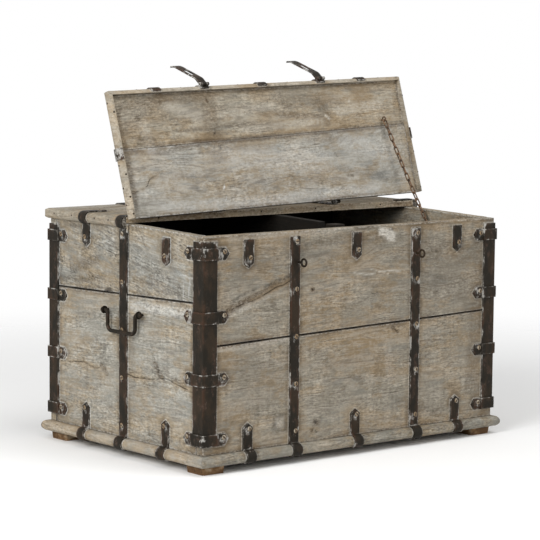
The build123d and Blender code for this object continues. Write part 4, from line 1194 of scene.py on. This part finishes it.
LEFT_MARKS = (
    Mark(((49, 340), (60, 338)), 5.0, DARK, 0.9, 0.6, 1.6),
    Mark(((80, 180), (66, 172), (60, 164)), 5.5, BROWN, 0.7, 0.3),
    Mark(((72, 176),), 2.4, DARK, 0.6, 0.4),
    Mark(((-107, 205), (-116, 190), (-128, 182)), 8.0, BROWN, 0.7, 0.4),
    Mark(((-112, 196), (-124, 183)), 2.4, DARK, 0.45, 0.4),
    Mark(((-168, 182), (-190, 176), (-205, 168)), 6.0, BROWN, 0.6, 0.3),
    Mark(((-60, 458), (-72, 440)), 2.2, BROWN, 0.6, 0.3),
    # Painted shadow in the narrow gap beside the side strap's front edge.
    Mark(((-14.6, 482), (-15.6, 442), (-13.8, 404)), 1.5, DARK, 1.0, 0.6),
    Mark(((-31, 405), (-89, 394), (-139, 386), (-188, 369)), 4.0, BROWN, 0.36, 0.2, 2.0),
    Mark(((-38, 440), (-89, 418), (-160, 404)), 3.4, BROWN, 0.30, 0.2, 2.0),
    Mark(((-60, 372), (-150, 352)), 5.0, BROWN, 0.34, 0.2, 2.0),
    Mark(((-190, 394), (-232, 388)), 2.0, PALE, 0.45, 0.0, 1.5),
    Mark(((-198, 350), (-200, 376)), 2.4, PALE, 0.38),
    Mark(((-216, 352), (-219, 384)), 2.4, PALE, 0.38),
    Mark(((200, 466), (60, 470)), 9.0, BROWN, 0.30, 0.0, 2.0),
    Mark(((100, 400), (180, 372)), 10.0, BROWN, 0.42, 0.0, 1.8),
    Mark(((80, 362), (150, 352), (220, 350)), 7.0, BROWN, 0.40, 0.0, 1.8),
    Mark(((-90, 380), (-190, 352)), 7.0, BROWN, 0.32, 0.0, 2.0),
    Mark(((-40, 316), (-230, 318)), 11.0, PALE, 0.46, 0.0, 2.4),
    Mark(((20, 120), (20, 260)), 7.0, BROWN, 0.22),
    Mark(((-30, 110), (-28, 290)), 8.0, BROWN, 0.24),
    Mark(((-235, 80), (-232, 300)), 10.0, BROWN, 0.28),
)
RIGHT_MARKS = (
    Mark(((-120, 230), (-60, 236)), 6.0, BROWN, 0.6, 0.3, 1.5),
    Mark(((110, 150),), 4.5, DARK, 0.7, 0.5),
    Mark(((-200, 180), (0, 172), (210, 182)), 1.0, DARK, 0.55, 0.3),
    Mark(((60, 400), (190, 390)), 12.0, BROWN, 0.35, 0.0, 2.0),
)
BACK_MARKS = (
    Mark(((-260, 160), (-250, 152)), 6.0, BROWN, 0.7, 0.4),
    Mark(((140, 380),), 4.0, DARK, 0.8, 0.5),
    Mark(((-100, 330), (90, 342), (210, 338)), 1.0, DARK, 0.5, 0.3),
    Mark(((260, 110), (330, 128)), 16.0, BROWN, 0.3, 0.0, 2.0),
)
TOP_MARKS = (
    Mark(((-300, 150), (-120, 156)), 1.0, DARK, 0.5, 0.3),
    Mark(((80, 120), (92, 122)), 5.0, BROWN, 0.6, 0.3),
    Mark(((-350, 200), (-200, 214)), 16.0, BROWN, 0.25, 0.0, 2.0),
    Mark(((210, 60), (330, 80)), 14.0, BROWN, 0.22, 0.0, 2.0),
    Mark(((-260, -120), (-60, -90)), 14.0, BROWN, 0.22, 0.0, 2.0),
)
LID_MARKS = (
    Mark(((192, -77), (230, -66), (270, -62), (323, -50)), 9.0, DARK, 0.20, 0.0, 1.8),
    Mark(((262, -60), (312, -46)), 9.0, DARK, 0.26, 0.0, 1.4),
    Mark(((-153, -248), (-150, -240)), 3.0, BROWN, 0.9, 0.5),
    Mark(((-148, -172), (-146, -180)), 2.6, DARK, 0.7, 0.5),
    Mark(((-143, -148), (-138, -143)), 2.6, DARK, 0.75, 0.5),
    Mark(((-149, -111),), 1.8, DARK, 0.6, 0.4),
    Mark(((-152, -53), (-150, -60)), 2.0, PALE, 0.8, 0.2),
    Mark(((-153, -28), (-148, -38)), 1.8, PALE, 0.8, 0.2),
    Mark(((-150, -250), (-146, -120)), 14.0, BROWN, 0.42, 0.0, 1.6),
    Mark(((13, -238), (12, -230)), 1.6, DARK, 0.7, 0.4),
    Mark(((180, -190), (172, -196)), 3.4, PALE, 0.75, 0.2),
    Mark(((158, -236), (166, -206), (172, -180)), 9.0, BROWN, 0.45, 0.0, 1.2),
    Mark(((249, -226),), 3.2, PALE, 0.5, 0.1),
    Mark(((299, -221),), 1.4, DARK, 0.7, 0.4),
    Mark(((-345, -218), (-338, -212)), 5.0, BROWN, 0.7, 0.3),
    Mark(((-268, -215),), 2.2, DARK, 0.7, 0.4),
    Mark(((177, -111), (182, -104)), 1.8, DARK, 0.65, 0.4),
    Mark(((200, -62), (216, -58)), 4.0, BROWN, 0.55, 0.2),
    Mark(((-380, -240), (-300, -250), (-180, -252)), 12.0, BROWN, 0.45, 0.0, 2.0),
    Mark(((-340, -225), (-120, -215)), 18.0, BROWN, 0.22, 0.0, 2.0),
    Mark(((60, -236), (190, -228)), 20.0, BROWN, 0.30, 0.0, 1.8),
    Mark(((-330, -196), (-322, -150)), 15.0, PALE, 0.26, 0.0, 1.0),
    Mark(((-300, -28), (-60, -22), (260, -26)), 11.0, PALE, 0.34, 0.0, 3.0),
    Mark(((-120, -120), (120, -96)), 26.0, PALE, 0.20, 0.0, 2.4),
    Mark(((-60, -176), (150, -186)), 8.0, PALE, 0.30, 0.0, 2.4),
    Mark(((230, -130), (330, -108)), 22.0, PALE, 0.24, 0.0, 1.6),
    Mark(((-360, -200), (-310, -236)), 17.0, BROWN, 0.34, 0.0, 1.2),
    Mark(((-250, -236), (-190, -214)), 12.0, PALE, 0.30, 0.0, 1.8),
    Mark(((-110, -212), (20, -226)), 9.0, PALE, 0.30, 0.0, 2.2),
    Mark(((40, -206), (150, -196)), 7.0, BROWN, 0.50, 0.0, 2.2),
    Mark(((150, -228), (178, -200)), 13.0, BROWN, 0.42, 0.0, 1.2),
    Mark(((220, -206), (330, -214)), 11.0, PALE, 0.34, 0.0, 2.0),
    Mark(((-230, -184), (-60, -190)), 5.0, BROWN, 0.46, 0.0, 2.4),
    Mark(((-300, -92), (-180, -84)), 9.0, BROWN, 0.22, 0.0, 2.4),
    Mark(((-100, -60), (110, -56)), 12.0, BROWN, 0.20, 0.0, 2.6),
    Mark(((-390, -230), (-386, -120), (-388, -30)), 9.0, BROWN, 0.50, 0.0, 0.8),
    Mark(((-370, -190), (-300, -150)), 15.0, BROWN, 0.30, 0.0, 1.5),
    Mark(((-200, -158), (-60, -156), (60, -158)), 6.0, BROWN, 0.62, 0.0, 2.4),
    Mark(((60, -158), (200, -160), (390, -164)), 5.0, BROWN, 0.55, 0.0, 2.4),
    Mark(((-390, -146), (-300, -142), (-220, -150)), 7.0, BROWN, 0.40, 0.0, 2.4),
    Mark(((-130, -140), (-10, -136)), 9.0, BROWN, 0.34, 0.0, 2.6),
    Mark(((120, -146), (220, -142)), 9.0, BROWN, 0.30, 0.0, 2.6),
    Mark(((-60, -186), (30, -180)), 12.0, BROWN, 0.40, 0.0, 2.0),
    Mark(((-60, -224), (60, -206)), 10.0, BROWN, 0.34, 0.0, 2.4),
    Mark(((-250, -150), (-100, -153)), 3.0, BROWN, 0.45, 0.0, 2.0),
    Mark(((-150, -14), (200, -12)), 7.0, BROWN, 0.25, 0.0, 3.0),
    Mark(((392, -172), (400, -165)), 3.0, DARK, 0.6, 0.4),
)
CASE_WASHES = (((-167, -267, 460), 11.0), ((167, -267, 460), 6.0), ((-403, -268, 452), 11.0),
               ((-403, -268, 437), 6.0), ((-403, -143, 413), 9.0), ((403, -267, 448), 5.0),
               ((-288, -267, 460), 5.0), ((-403, -268, 72), 6.0), ((-403, 0, 470), 5.0))
LID_WASHES = (((-412, -143, 484), 30.0), ((-167, -274, 486), 5.0))


# Half-round strips, iron, bars and fixings


@dataclass
class CarvedStrip:
    """Half-round wooden strip, cut into short lengths so that it takes stains and small dents."""

    node: str
    body: str
    axis: int
    seed: int
    tone_and_shade: tuple
    pitch: float = 7.0 * MM
    dent: float = 0.35 * MM
    dent_size: float = 60.0
    radius: float = 11.0 * MM

    def build(self, irons: IronMap, material: bpy.types.Material) -> None:
        """Makes the strip."""
        copy = welded(self.node)
        sliced(copy, (self.axis,), self.pitch)
        copy.normal_update()
        along = np.array([vert.co[self.axis] for vert in copy.verts]) / MM
        height = np.array([vert.co.z for vert in copy.verts]) / MM
        dents = waves(along, height * 4, self.seed, self.dent_size) * self.dent
        for vert, dent in zip(copy.verts, dents):
            vert.co -= vert.normal * dent
        mesh = mesh_of(copy, self.node)
        places = points_of(mesh)
        order = [self.axis] + [i for i in range(3) if i != self.axis]
        attach_wood(mesh, places[:, order] + self.seed * 0.37, irons.distances(places), self.tone_and_shade,
                    self.radius)
        place_piece(f"{self.node}_strip", mesh, self.body, material, (self.node,))


@dataclass
class ForgedPlate:
    """Piece of flat iron with eased edges, which carries each point's distance from them."""

    node: str
    body: str
    ease: float = 0.5 * MM
    pitch: float = 7.0 * MM
    rim_pitch: float = 1.2 * MM
    rim_sink: float = 0.2 * MM
    corner_deg: float = 40.0
    crisp_deg: float = 28.0

    def build(self, materials: Palette, wear: "IronWear") -> None:
        """Makes the plate."""
        copy = welded(self.node)
        sharp = [edge for edge in copy.edges if edge.is_manifold
                 and edge.calc_face_angle(0.0) > math.radians(self.corner_deg)]
        points = []
        for edge in sharp:
            a, b = (vert.co for vert in edge.verts)
            steps = int(edge.calc_length() / self.rim_pitch) + 1
            points += [a.lerp(b, (i + 0.5) / steps) for i in range(steps)]
        rims = tree_of(points)
        bmesh.ops.bevel(copy, geom=sharp, offset=self.ease, segments=2, affect="EDGES",
                        clamp_overlap=True, profile=0.6)
        sliced(copy, (0, 1, 2), self.pitch)
        mesh = mesh_of(copy, self.node)
        places = points_of(mesh)
        near = [max(0.0, rims.find(point)[2] - self.rim_sink) for point in places]
        attach(mesh, "rim", "FLOAT", near)
        attach(mesh, "screw", "FLOAT", [wear.screws.find(point)[2] for point in places])
        attach(mesh, "wash", "FLOAT", wear.wash(places))
        place_piece(f"{self.node}_plate", mesh, self.body, materials.iron, (self.node,),
                    self.crisp_deg)


class IronWear:
    """Where lime sticks to the iron: round its screws, low down, and on a few spots."""

    low: float = 42.0 * MM
    low_share: float = 0.20

    def __init__(self, opened: Matrix) -> None:
        """Gathers the screws and the spots.

        Args:
            opened: Turns the level lid's places to where they are.
        """
        heads = [cloud.mean(0) for node in ("case_screws", "lid_screws") for cloud in islands(node)]
        self.screws = tree_of(heads)
        self.spots = [(Vector(place) * MM, radius * MM) for place, radius in CASE_WASHES]
        self.spots += [(opened @ (Vector(place) * MM), radius * MM) for place, radius in LID_WASHES]

    def wash(self, places: np.ndarray) -> np.ndarray:
        """Share of lime at each place."""
        share = np.where(places[:, 2] < self.low, self.low_share, 0.0)
        for spot, radius in self.spots:
            away = np.linalg.norm(places - np.array(spot), axis=1)
            share = np.maximum(share, np.clip(1.4 - away / radius, 0, 1))
        return share


class GeometryRule(NodeTree):
    """Geometry Nodes tree that makes what repeats, with named inputs."""

    def __init__(self, name: str, inputs: dict[str, float | int]) -> None:
        """Makes the tree and its inputs.

        Args:
            name: Name of the tree.
            inputs: Value of each named input.
        """
        super().__init__(bpy.data.node_groups.new(name, "GeometryNodeTree"))
        self.values = dict(inputs)
        self.tree.interface.new_socket("Geometry", in_out="INPUT", socket_type="NodeSocketGeometry")
        self.keys = {}
        for label, value in inputs.items():
            kind = "NodeSocketInt" if isinstance(value, int) else "NodeSocketFloat"
            made = self.tree.interface.new_socket(label, in_out="INPUT", socket_type=kind)
            self.keys[label] = made.identifier
        self.tree.interface.new_socket("Geometry", in_out="OUTPUT", socket_type="NodeSocketGeometry")
        self.source = self.node("NodeGroupInput")

    def input(self, label: str = "Geometry") -> Wire:
        """Wire of a named input."""
        return self.source.sibling(label)

    def random(self, low: float, high: float) -> Wire:
        """Random number for each copy, fixed by the tree's seed."""
        return self.node("FunctionNodeRandomValue", {"data_type": "FLOAT"},
                         {2: low, 3: high, "Seed": self.input("Seed")}, 1)

    def marked(self, shape: Wire, name: str, value: "Wire | float") -> Wire:
        """Shape that carries a number at each point."""
        return self.node("GeometryNodeStoreNamedAttribute", {"data_type": "FLOAT", "domain": "POINT"},
                         {"Geometry": shape, "Name": name, "Value": value})

    def laid(self, shape: Wire, axis: str, angle: Wire) -> Wire:
        """Copies of a shape on the points.

        Args:
            shape: The shape.
            axis: Its axis that follows each point's direction, "X", "Y" or "Z".
            angle: Turn of each copy about that axis.

        Returns:
            The copies.
        """
        aim = self.node("GeometryNodeInputNamedAttribute", {"data_type": "FLOAT_VECTOR"}, {"Name": "aim"})
        stand = self.node("FunctionNodeAlignRotationToVector", {"axis": axis}, {"Vector": aim})
        spin = self.node("FunctionNodeEulerToRotation", None,
                         {0: self.joined({"XYZ".index(axis): angle})})
        turned = self.node("FunctionNodeRotateRotation", {"rotation_space": "LOCAL"}, {0: stand, 1: spin})
        return self.node("GeometryNodeInstanceOnPoints", None,
                         {"Points": self.input(), "Instance": shape, "Rotation": turned})

    def close(self, geometry: Wire, material: bpy.types.Material) -> None:
        """Realizes the copies, sets their material and joins the output."""
        whole = self.node("GeometryNodeRealizeInstances", None, {"Geometry": geometry})
        whole = self.node("GeometryNodeSetMaterial", None, {"Geometry": whole, "Material": material})
        self.node("NodeGroupOutput", None, {"Geometry": whole})

    def run(self, places: list[Vector], aims: list[Vector]) -> bpy.types.Mesh:
        """Runs the tree on points, each with the direction that it looks in.

        Args:
            places: The points.
            aims: Direction of each.

        Returns:
            The result as a plain mesh.
        """
        seed_mesh = bpy.data.meshes.new("places")
        seed_mesh.from_pydata([tuple(p) for p in places], [], [])
        attach(seed_mesh, "aim", "FLOAT_VECTOR", aims)
        holder = bpy.data.objects.new("places", seed_mesh)
        bpy.context.scene.collection.objects.link(holder)
        growth = holder.modifiers.new("growth", "NODES")
        growth.node_group = self.tree
        for label, value in self.values.items():
            growth[self.keys[label]] = value
        graph = bpy.context.evaluated_depsgraph_get()
        mesh = bpy.data.meshes.new_from_object(holder.evaluated_get(graph), depsgraph=graph)
        holder.modifiers.remove(growth)
        bpy.data.objects.remove(holder)
        return mesh


@dataclass
class Fixings:
    """Screw heads and small nails, each set made by one tree and laid on its points."""

    head_r: float = 5.2 * MM
    head_height: float = 1.8 * MM
    slot_w: float = 1.5 * MM
    slot_depth: float = 1.0 * MM
    slot_reach: float = 2.4
    nail_r: float = 2.0 * MM
    nail_height: float = 0.7 * MM
    head_share: float = 0.9
    crisp_deg: float = 30.0

    def _dome(self, rule: GeometryRule, segments: int, rings: int) -> Wire:
        """Low domed head with its seat at the plane of the point."""
        ball = rule.node("GeometryNodeMeshUVSphere", None,
                         {"Segments": segments, "Rings": rings, "Radius": 1.0}, "Mesh")
        flat = rule.vector_maths("MULTIPLY", {0: rule.node("GeometryNodeInputPosition"), 1: (1.0, 1.0, 0.0)})
        ball = rule.marked(ball, "radial", rule.vector_maths("LENGTH", {0: flat}, "Value"))
        size = rule.joined({0: rule.input("Radius"), 1: rule.input("Radius"), 2: rule.input("Height")})
        return rule.node("GeometryNodeTransform", None, {"Geometry": ball, "Scale": size})

    def screws(self, name: str, body: str, node: str, materials: Palette) -> None:
        """Screw heads over one body's screws.

        Args:
            name: Name of the piece.
            body: Body that it rides on.
            node: The screws that it stands for.
            materials: The finishes.
        """
        rule = GeometryRule(name, {"Radius": self.head_r, "Height": self.head_height,
                                   "Slot": self.slot_w, "Depth": self.slot_depth, "Seed": 5})
        dome = self._dome(rule, 18, 10)
        room = rule.joined({0: rule.input("Radius") * self.slot_reach, 1: rule.input("Slot"),
                            2: rule.input("Depth") * 2})
        bar = rule.node("GeometryNodeMeshCube", None, {"Size": room}, "Mesh")
        bar = rule.node("GeometryNodeTransform", None,
                        {"Geometry": rule.marked(bar, "cut", 1.0),
                         "Translation": rule.joined({2: rule.input("Height")})})
        head = rule.node("GeometryNodeMeshBoolean", {"operation": "DIFFERENCE", "solver": "EXACT"},
                         {"Mesh 1": dome, "Mesh 2": bar}, "Mesh")
        rule.close(rule.laid(head, "Z", rule.random(0.0, math.pi)), materials.head)
        places, aims = zip(*(self._head_of(cloud) for cloud in islands(node)))
        mesh = rule.run(places, aims)
        place_piece(name, mesh, body, materials.head, (node,), self.crisp_deg)

    def _head_of(self, cloud: np.ndarray) -> tuple[Vector, Vector]:
        """Middle of a screw head's seat, and the way it looks, from the screw's points."""
        middle = (cloud.max(0) + cloud.min(0)) / 2
        axis = np.linalg.svd(cloud - cloud.mean(0), full_matrices=False)[2][0]
        along = (cloud - middle) @ axis
        wide = np.linalg.norm(np.cross(cloud - middle, axis), axis=1)
        head = wide > wide.max() * self.head_share
        if along[head].mean() < 0:
            axis = -axis
            along = -along
        centre = cloud.mean(0) - axis * (cloud.mean(0) - middle) @ axis
        return Vector(centre + axis * along[head].min()), Vector(axis)

    def nails(self, name: str, body: str, nails: list[tuple[Vector, Vector]],
              materials: Palette) -> None:
        """Small round nails set in the strips, each from its place and its direction."""
        rule = GeometryRule(name, {"Radius": self.nail_r, "Height": self.nail_height, "Seed": 9})
        shape = self._dome(rule, 10, 6)
        rule.close(rule.laid(shape, "Z", rule.random(0.0, math.pi)), materials.round_iron)
        place_piece(name, rule.run(*zip(*nails)), body, materials.round_iron)


@dataclass
class LidChain:
    """Chain of welded links from the lid's eye to the wall's, with a little slack.
    """

    wire_r: float = 1.5 * MM
    inner_w: float = 6.6 * MM
    sag: float = 3.0 * MM
    wobble: float = 0.22
    bend_share: float = 0.5

    def _links(self, length: float, material: bpy.types.Material) -> GeometryRule:
        """Tree that lays one link on each point, every second one turned on its side."""
        rule = GeometryRule("chain_links", {"Length": length, "Width": self.inner_w + 2 * self.wire_r,
                                            "Wire": self.wire_r, "Seed": 3})
        wide = rule.input("Width") - rule.input("Wire") * 2
        long = rule.input("Length") - rule.input("Wire") * 2
        loop = rule.node("GeometryNodeCurvePrimitiveQuadrilateral", {"mode": "RECTANGLE"},
                         {"Width": wide, "Height": long})
        loop = rule.node("GeometryNodeFilletCurve", {"mode": "POLY"},
                         {"Curve": loop, "Radius": wide * 0.499, "Count": 5})
        ring = rule.node("GeometryNodeCurvePrimitiveCircle", {"mode": "RADIUS"},
                         {"Resolution": 8, "Radius": rule.input("Wire")})
        link = rule.node("GeometryNodeCurveToMesh", None, {"Curve": loop, "Profile Curve": ring})
        quarter = rule.node("GeometryNodeInputIndex").maths("MODULO", 2.0) * (math.pi / 2)
        angle = quarter + rule.random(-self.wobble, self.wobble)
        rule.close(rule.laid(link, "Y", angle), material)
        return rule

    def build(self, materials: Palette) -> None:
        """Makes the chain between the case and the lid."""
        groups = islands("lid_chain")
        middles = sorted(((c.max(0) + c.min(0)) / 2 for c in groups), key=lambda p: -p[2])
        start, end = Vector(middles[0]), Vector(middles[-1])
        run = np.array((end - start).normalized())
        length = float(np.median([np.ptp((c - c.mean(0)) @ run) for c in groups]))
        last = len(groups) - 1
        shares = [i / last for i in range(last + 1)]
        places = [start.lerp(end, share) + Vector((0, 0, -self.sag * math.sin(math.pi * share)))
                  for share in shares]
        aims = [(places[min(i + 1, last)] - places[max(i - 1, 0)]).normalized() for i in range(last + 1)]
        mesh = self._links(length, materials.wire).run(places, aims)
        piece = new_piece("lid_chain_links", mesh, materials.wire)
        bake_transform(piece)
        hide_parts("lid_chain")


@dataclass
class Ironwork:
    """Straps, tabs, corner irons, clips, hinges, hasps, staples and handles."""

    plates: dict = field(default_factory=lambda: {
        "case": ("front_strap_left", "front_strap_right", "front_tabs", "side_strap_left",
                 "side_strap_right", "side_tabs_left", "side_tabs_right", "back_straps",
                 "corner_angle_front_left", "corner_angle_front_right", "corner_angle_back_left",
                 "corner_angle_back_right", "corner_brackets_front_left", "corner_brackets_front_right",
                 "corner_brackets_back_left", "corner_brackets_back_right", "hinge_leaves_rear"),
        "lid": ("lid_straps", "lid_clips"),
        "hasp_left": ("hasp_left",),
        "hasp_right": ("hasp_right",)})
    bars: tuple = ("hasp_staple_left", "hasp_staple_right", "handle_left", "handle_right",
                   "handle_eyes_left", "handle_eyes_right", "hinge_pins", "hasp_pins")
    wires: tuple = ("chain_eye_lid", "chain_eye_wall")

    def build(self, materials: Palette, wear: IronWear) -> None:
        """Makes the plates and dresses the bars."""
        for body, names in self.plates.items():
            for name in names:
                ForgedPlate(name, body).build(materials, wear)
        for name in self.bars:
            dress(name, materials.round_iron)
        for name in self.wires:
            dress(name, materials.wire)


@dataclass
class Trim:
    """Half-round strips of the base, the fixed top and the lid, and the nails along them."""

    strips: tuple = (("base_moulding_front", "case", 0), ("base_moulding_back", "case", 0),
                     ("base_moulding_left", "case", 1), ("base_moulding_right", "case", 1),
                     ("rear_top_edging_left", "case", 1), ("rear_top_edging_right", "case", 1),
                     ("rear_top_edging_back", "case", 0), ("lid_edging_front", "lid", 0),
                     ("lid_edging_left", "lid", 1), ("lid_edging_right", "lid", 1))
    slit_nail: tuple = (-7.25, 489.8)
    back_nail: tuple = (276.0, 484.4)
    side_nail: tuple = (410.6, 486.0)
    top_nails_x: tuple = (-317.0, -43.6, 110.0, 300.0)
    top_nails_y: tuple = (41.0, 90.0, 172.0, 236.0)
    lid_front_nail: tuple = (-275.9, 477.5)
    lid_side_nail: tuple = (411.0, 477.5)
    lid_under_nail: tuple = (405.0, 467.2)
    lid_nails_x: tuple = (-330.0, -215.0, -60.0, 80.0, 230.0, 350.0)
    lid_nails_y: tuple = (-230.0, -100.0, -53.0, -18.0)
    back_nail_shift: float = 18.0
    side_nail_shift: float = -20.0

    def build(self, irons: IronMap, materials: Palette) -> None:
        """Makes the strips."""
        for i, (node, body, axis) in enumerate(self.strips):
            strip = CarvedStrip(node, body, axis, 90 + i, TONES_AND_SHADES.get(node, TONES_AND_SHADES["strip"]))
            strip.build(irons, materials.lid_board if body == "lid" else materials.board)
        dress("feet", materials.foot)

    def nail_places(self, matrix: Matrix) -> dict[str, list[tuple[Vector, Vector]]]:
        """Places and directions of the nails, for each body."""
        case, lid = [], []
        for x in self.top_nails_x:
            case += [((x, *self.slit_nail), (0, -1, 0)),
                     ((x + self.back_nail_shift, *self.back_nail), (0, 1, 0))]
        for y, sign in product(self.top_nails_y, (-1, 1)):
            case.append(((sign * self.side_nail[0], y, self.side_nail[1]), (sign, 0, 0.15)))
        for y, sign in product(self.lid_nails_y, (-1, 1)):
            under, side = self.lid_under_nail, self.lid_side_nail
            lid += [((sign * under[0], y, under[1]), (sign * 0.45, 0, -1)),
                    ((sign * side[0], y + self.side_nail_shift, side[1]), (sign, 0, 0))]
        for x in self.lid_nails_x:
            lid.append(((x, *self.lid_front_nail), (0, -1, 0)))
        turn = matrix.to_3x3()
        return {"case": [(Vector(p) * MM, Vector(aim).normalized()) for p, aim in case],
                "lid": [(matrix @ (Vector(p) * MM), turn @ Vector(aim).normalized()) for p, aim in lid]}


# Studio


@dataclass
class Studio:
    """Camera at the photograph's place, floor, soft lamps and white surroundings."""

    place: tuple = (-3.1604, -3.7848, 0.8979)
    yaw: float = 50.244
    pitch: float = 6.217
    roll: float = 0.520
    lens: float = 153.45
    sensor: float = 36.0
    surround: float = 0.47
    clip: tuple = (0.1, 100.0)
    floor_r: float = 3.0
    floor_sides: int = 64
    lamps: tuple = (
        ("key_left", (-3.6, -1.0, 2.2), (0.0, 0.0, 0.25), 2.2, 118.0),
        ("fill_front", (1.6, -3.8, 1.8), (0.0, 0.0, 0.25), 2.4, 30.0),
        ("top_soft", (0.2, -1.6, 3.6), (0.0, 0.0, 0.3), 2.2, 44.0))

    def camera(self) -> None:
        """Sets the camera."""
        yaw, pitch, roll = (math.radians(v) for v in (self.yaw, self.pitch, self.roll))
        ahead = Vector((math.cos(pitch) * math.cos(yaw), math.cos(pitch) * math.sin(yaw), -math.sin(pitch)))
        right = Vector((math.sin(yaw), -math.cos(yaw), 0.0))
        up = right.cross(ahead)
        across = right * math.cos(roll) + up * math.sin(roll)
        above = up * math.cos(roll) - right * math.sin(roll)
        data = bpy.data.cameras.new("photo_camera")
        data.sensor_width = self.sensor
        data.lens = self.lens
        data.clip_start, data.clip_end = self.clip
        camera = bpy.data.objects.new("photo_camera", data)
        turn = Matrix((across, above, -ahead)).transposed().to_4x4()
        camera.matrix_world = Matrix.Translation(self.place) @ turn
        bpy.context.scene.collection.objects.link(camera)
        bpy.context.scene.camera = camera

    def floor(self) -> None:
        """Lays the floor."""
        mesh = bpy.data.meshes.new("studio_floor")
        turns = [2 * math.pi * i / self.floor_sides for i in range(self.floor_sides)]
        corners = [(self.floor_r * math.cos(t), self.floor_r * math.sin(t), 0.0) for t in turns]
        mesh.from_pydata(corners, [], [tuple(range(self.floor_sides))])
        mesh.materials.append(StudioFloor().make())
        floor = bpy.data.objects.new("studio_floor", mesh)
        bpy.context.scene.collection.objects.link(floor)

    def light(self) -> None:
        """Sets the lamps and the surroundings."""
        for name, place, target, size, power in self.lamps:
            data = bpy.data.lights.new(name, "AREA")
            data.shape = "SQUARE"
            data.size = size
            data.energy = power
            lamp = bpy.data.objects.new(name, data)
            aim = Vector(target) - Vector(place)
            lamp.matrix_world = Matrix.Translation(place) @ aim.to_track_quat("-Z", "Y").to_matrix().to_4x4()
            bpy.context.scene.collection.objects.link(lamp)
        world = bpy.data.worlds.new("white_surround")
        world.use_nodes = True
        bpy.context.scene.world = world
        sky = NodeTree(world.node_tree)
        seen = [sky.node("ShaderNodeLightPath", output=ray)
                for ray in ("Is Camera Ray", "Is Glossy Ray", "Is Transmission Ray")]
        shown = (seen[0] + seen[1] + seen[2]).least(1.0)
        strength = shown * (1.0 - self.surround) + self.surround
        back = sky.node("ShaderNodeBackground", None, {"Color": (1.0, 1.0, 1.0, 1.0), "Strength": strength})
        sky.node("ShaderNodeOutputWorld", None, {"Surface": back})
        bpy.context.scene.view_settings.view_transform = "Standard"


def main() -> None:
    """Builds the finished table in order."""
    logging.basicConfig(level=logging.INFO, format="%(name)s: %(message)s")
    materials = Palette()
    studio = Studio()
    studio.camera()
    studio.floor()
    studio.light()
    irons = IronMap()
    boards = Boards()
    opened = boards.lid_turn()
    boards.build(irons, materials, opened)
    trim = Trim()
    trim.build(irons, materials)
    Ironwork().build(materials, IronWear(opened))
    fixings = Fixings()
    fixings.screws("case_screw_heads", "case", "case_screws", materials)
    fixings.screws("lid_screw_heads", "lid", "lid_screws", materials)
    for body, nails in trim.nail_places(opened).items():
        fixings.nails(f"{body}_nails", body, nails, materials)
    LidChain().build(materials)


if __name__ == "__main__":
    main()
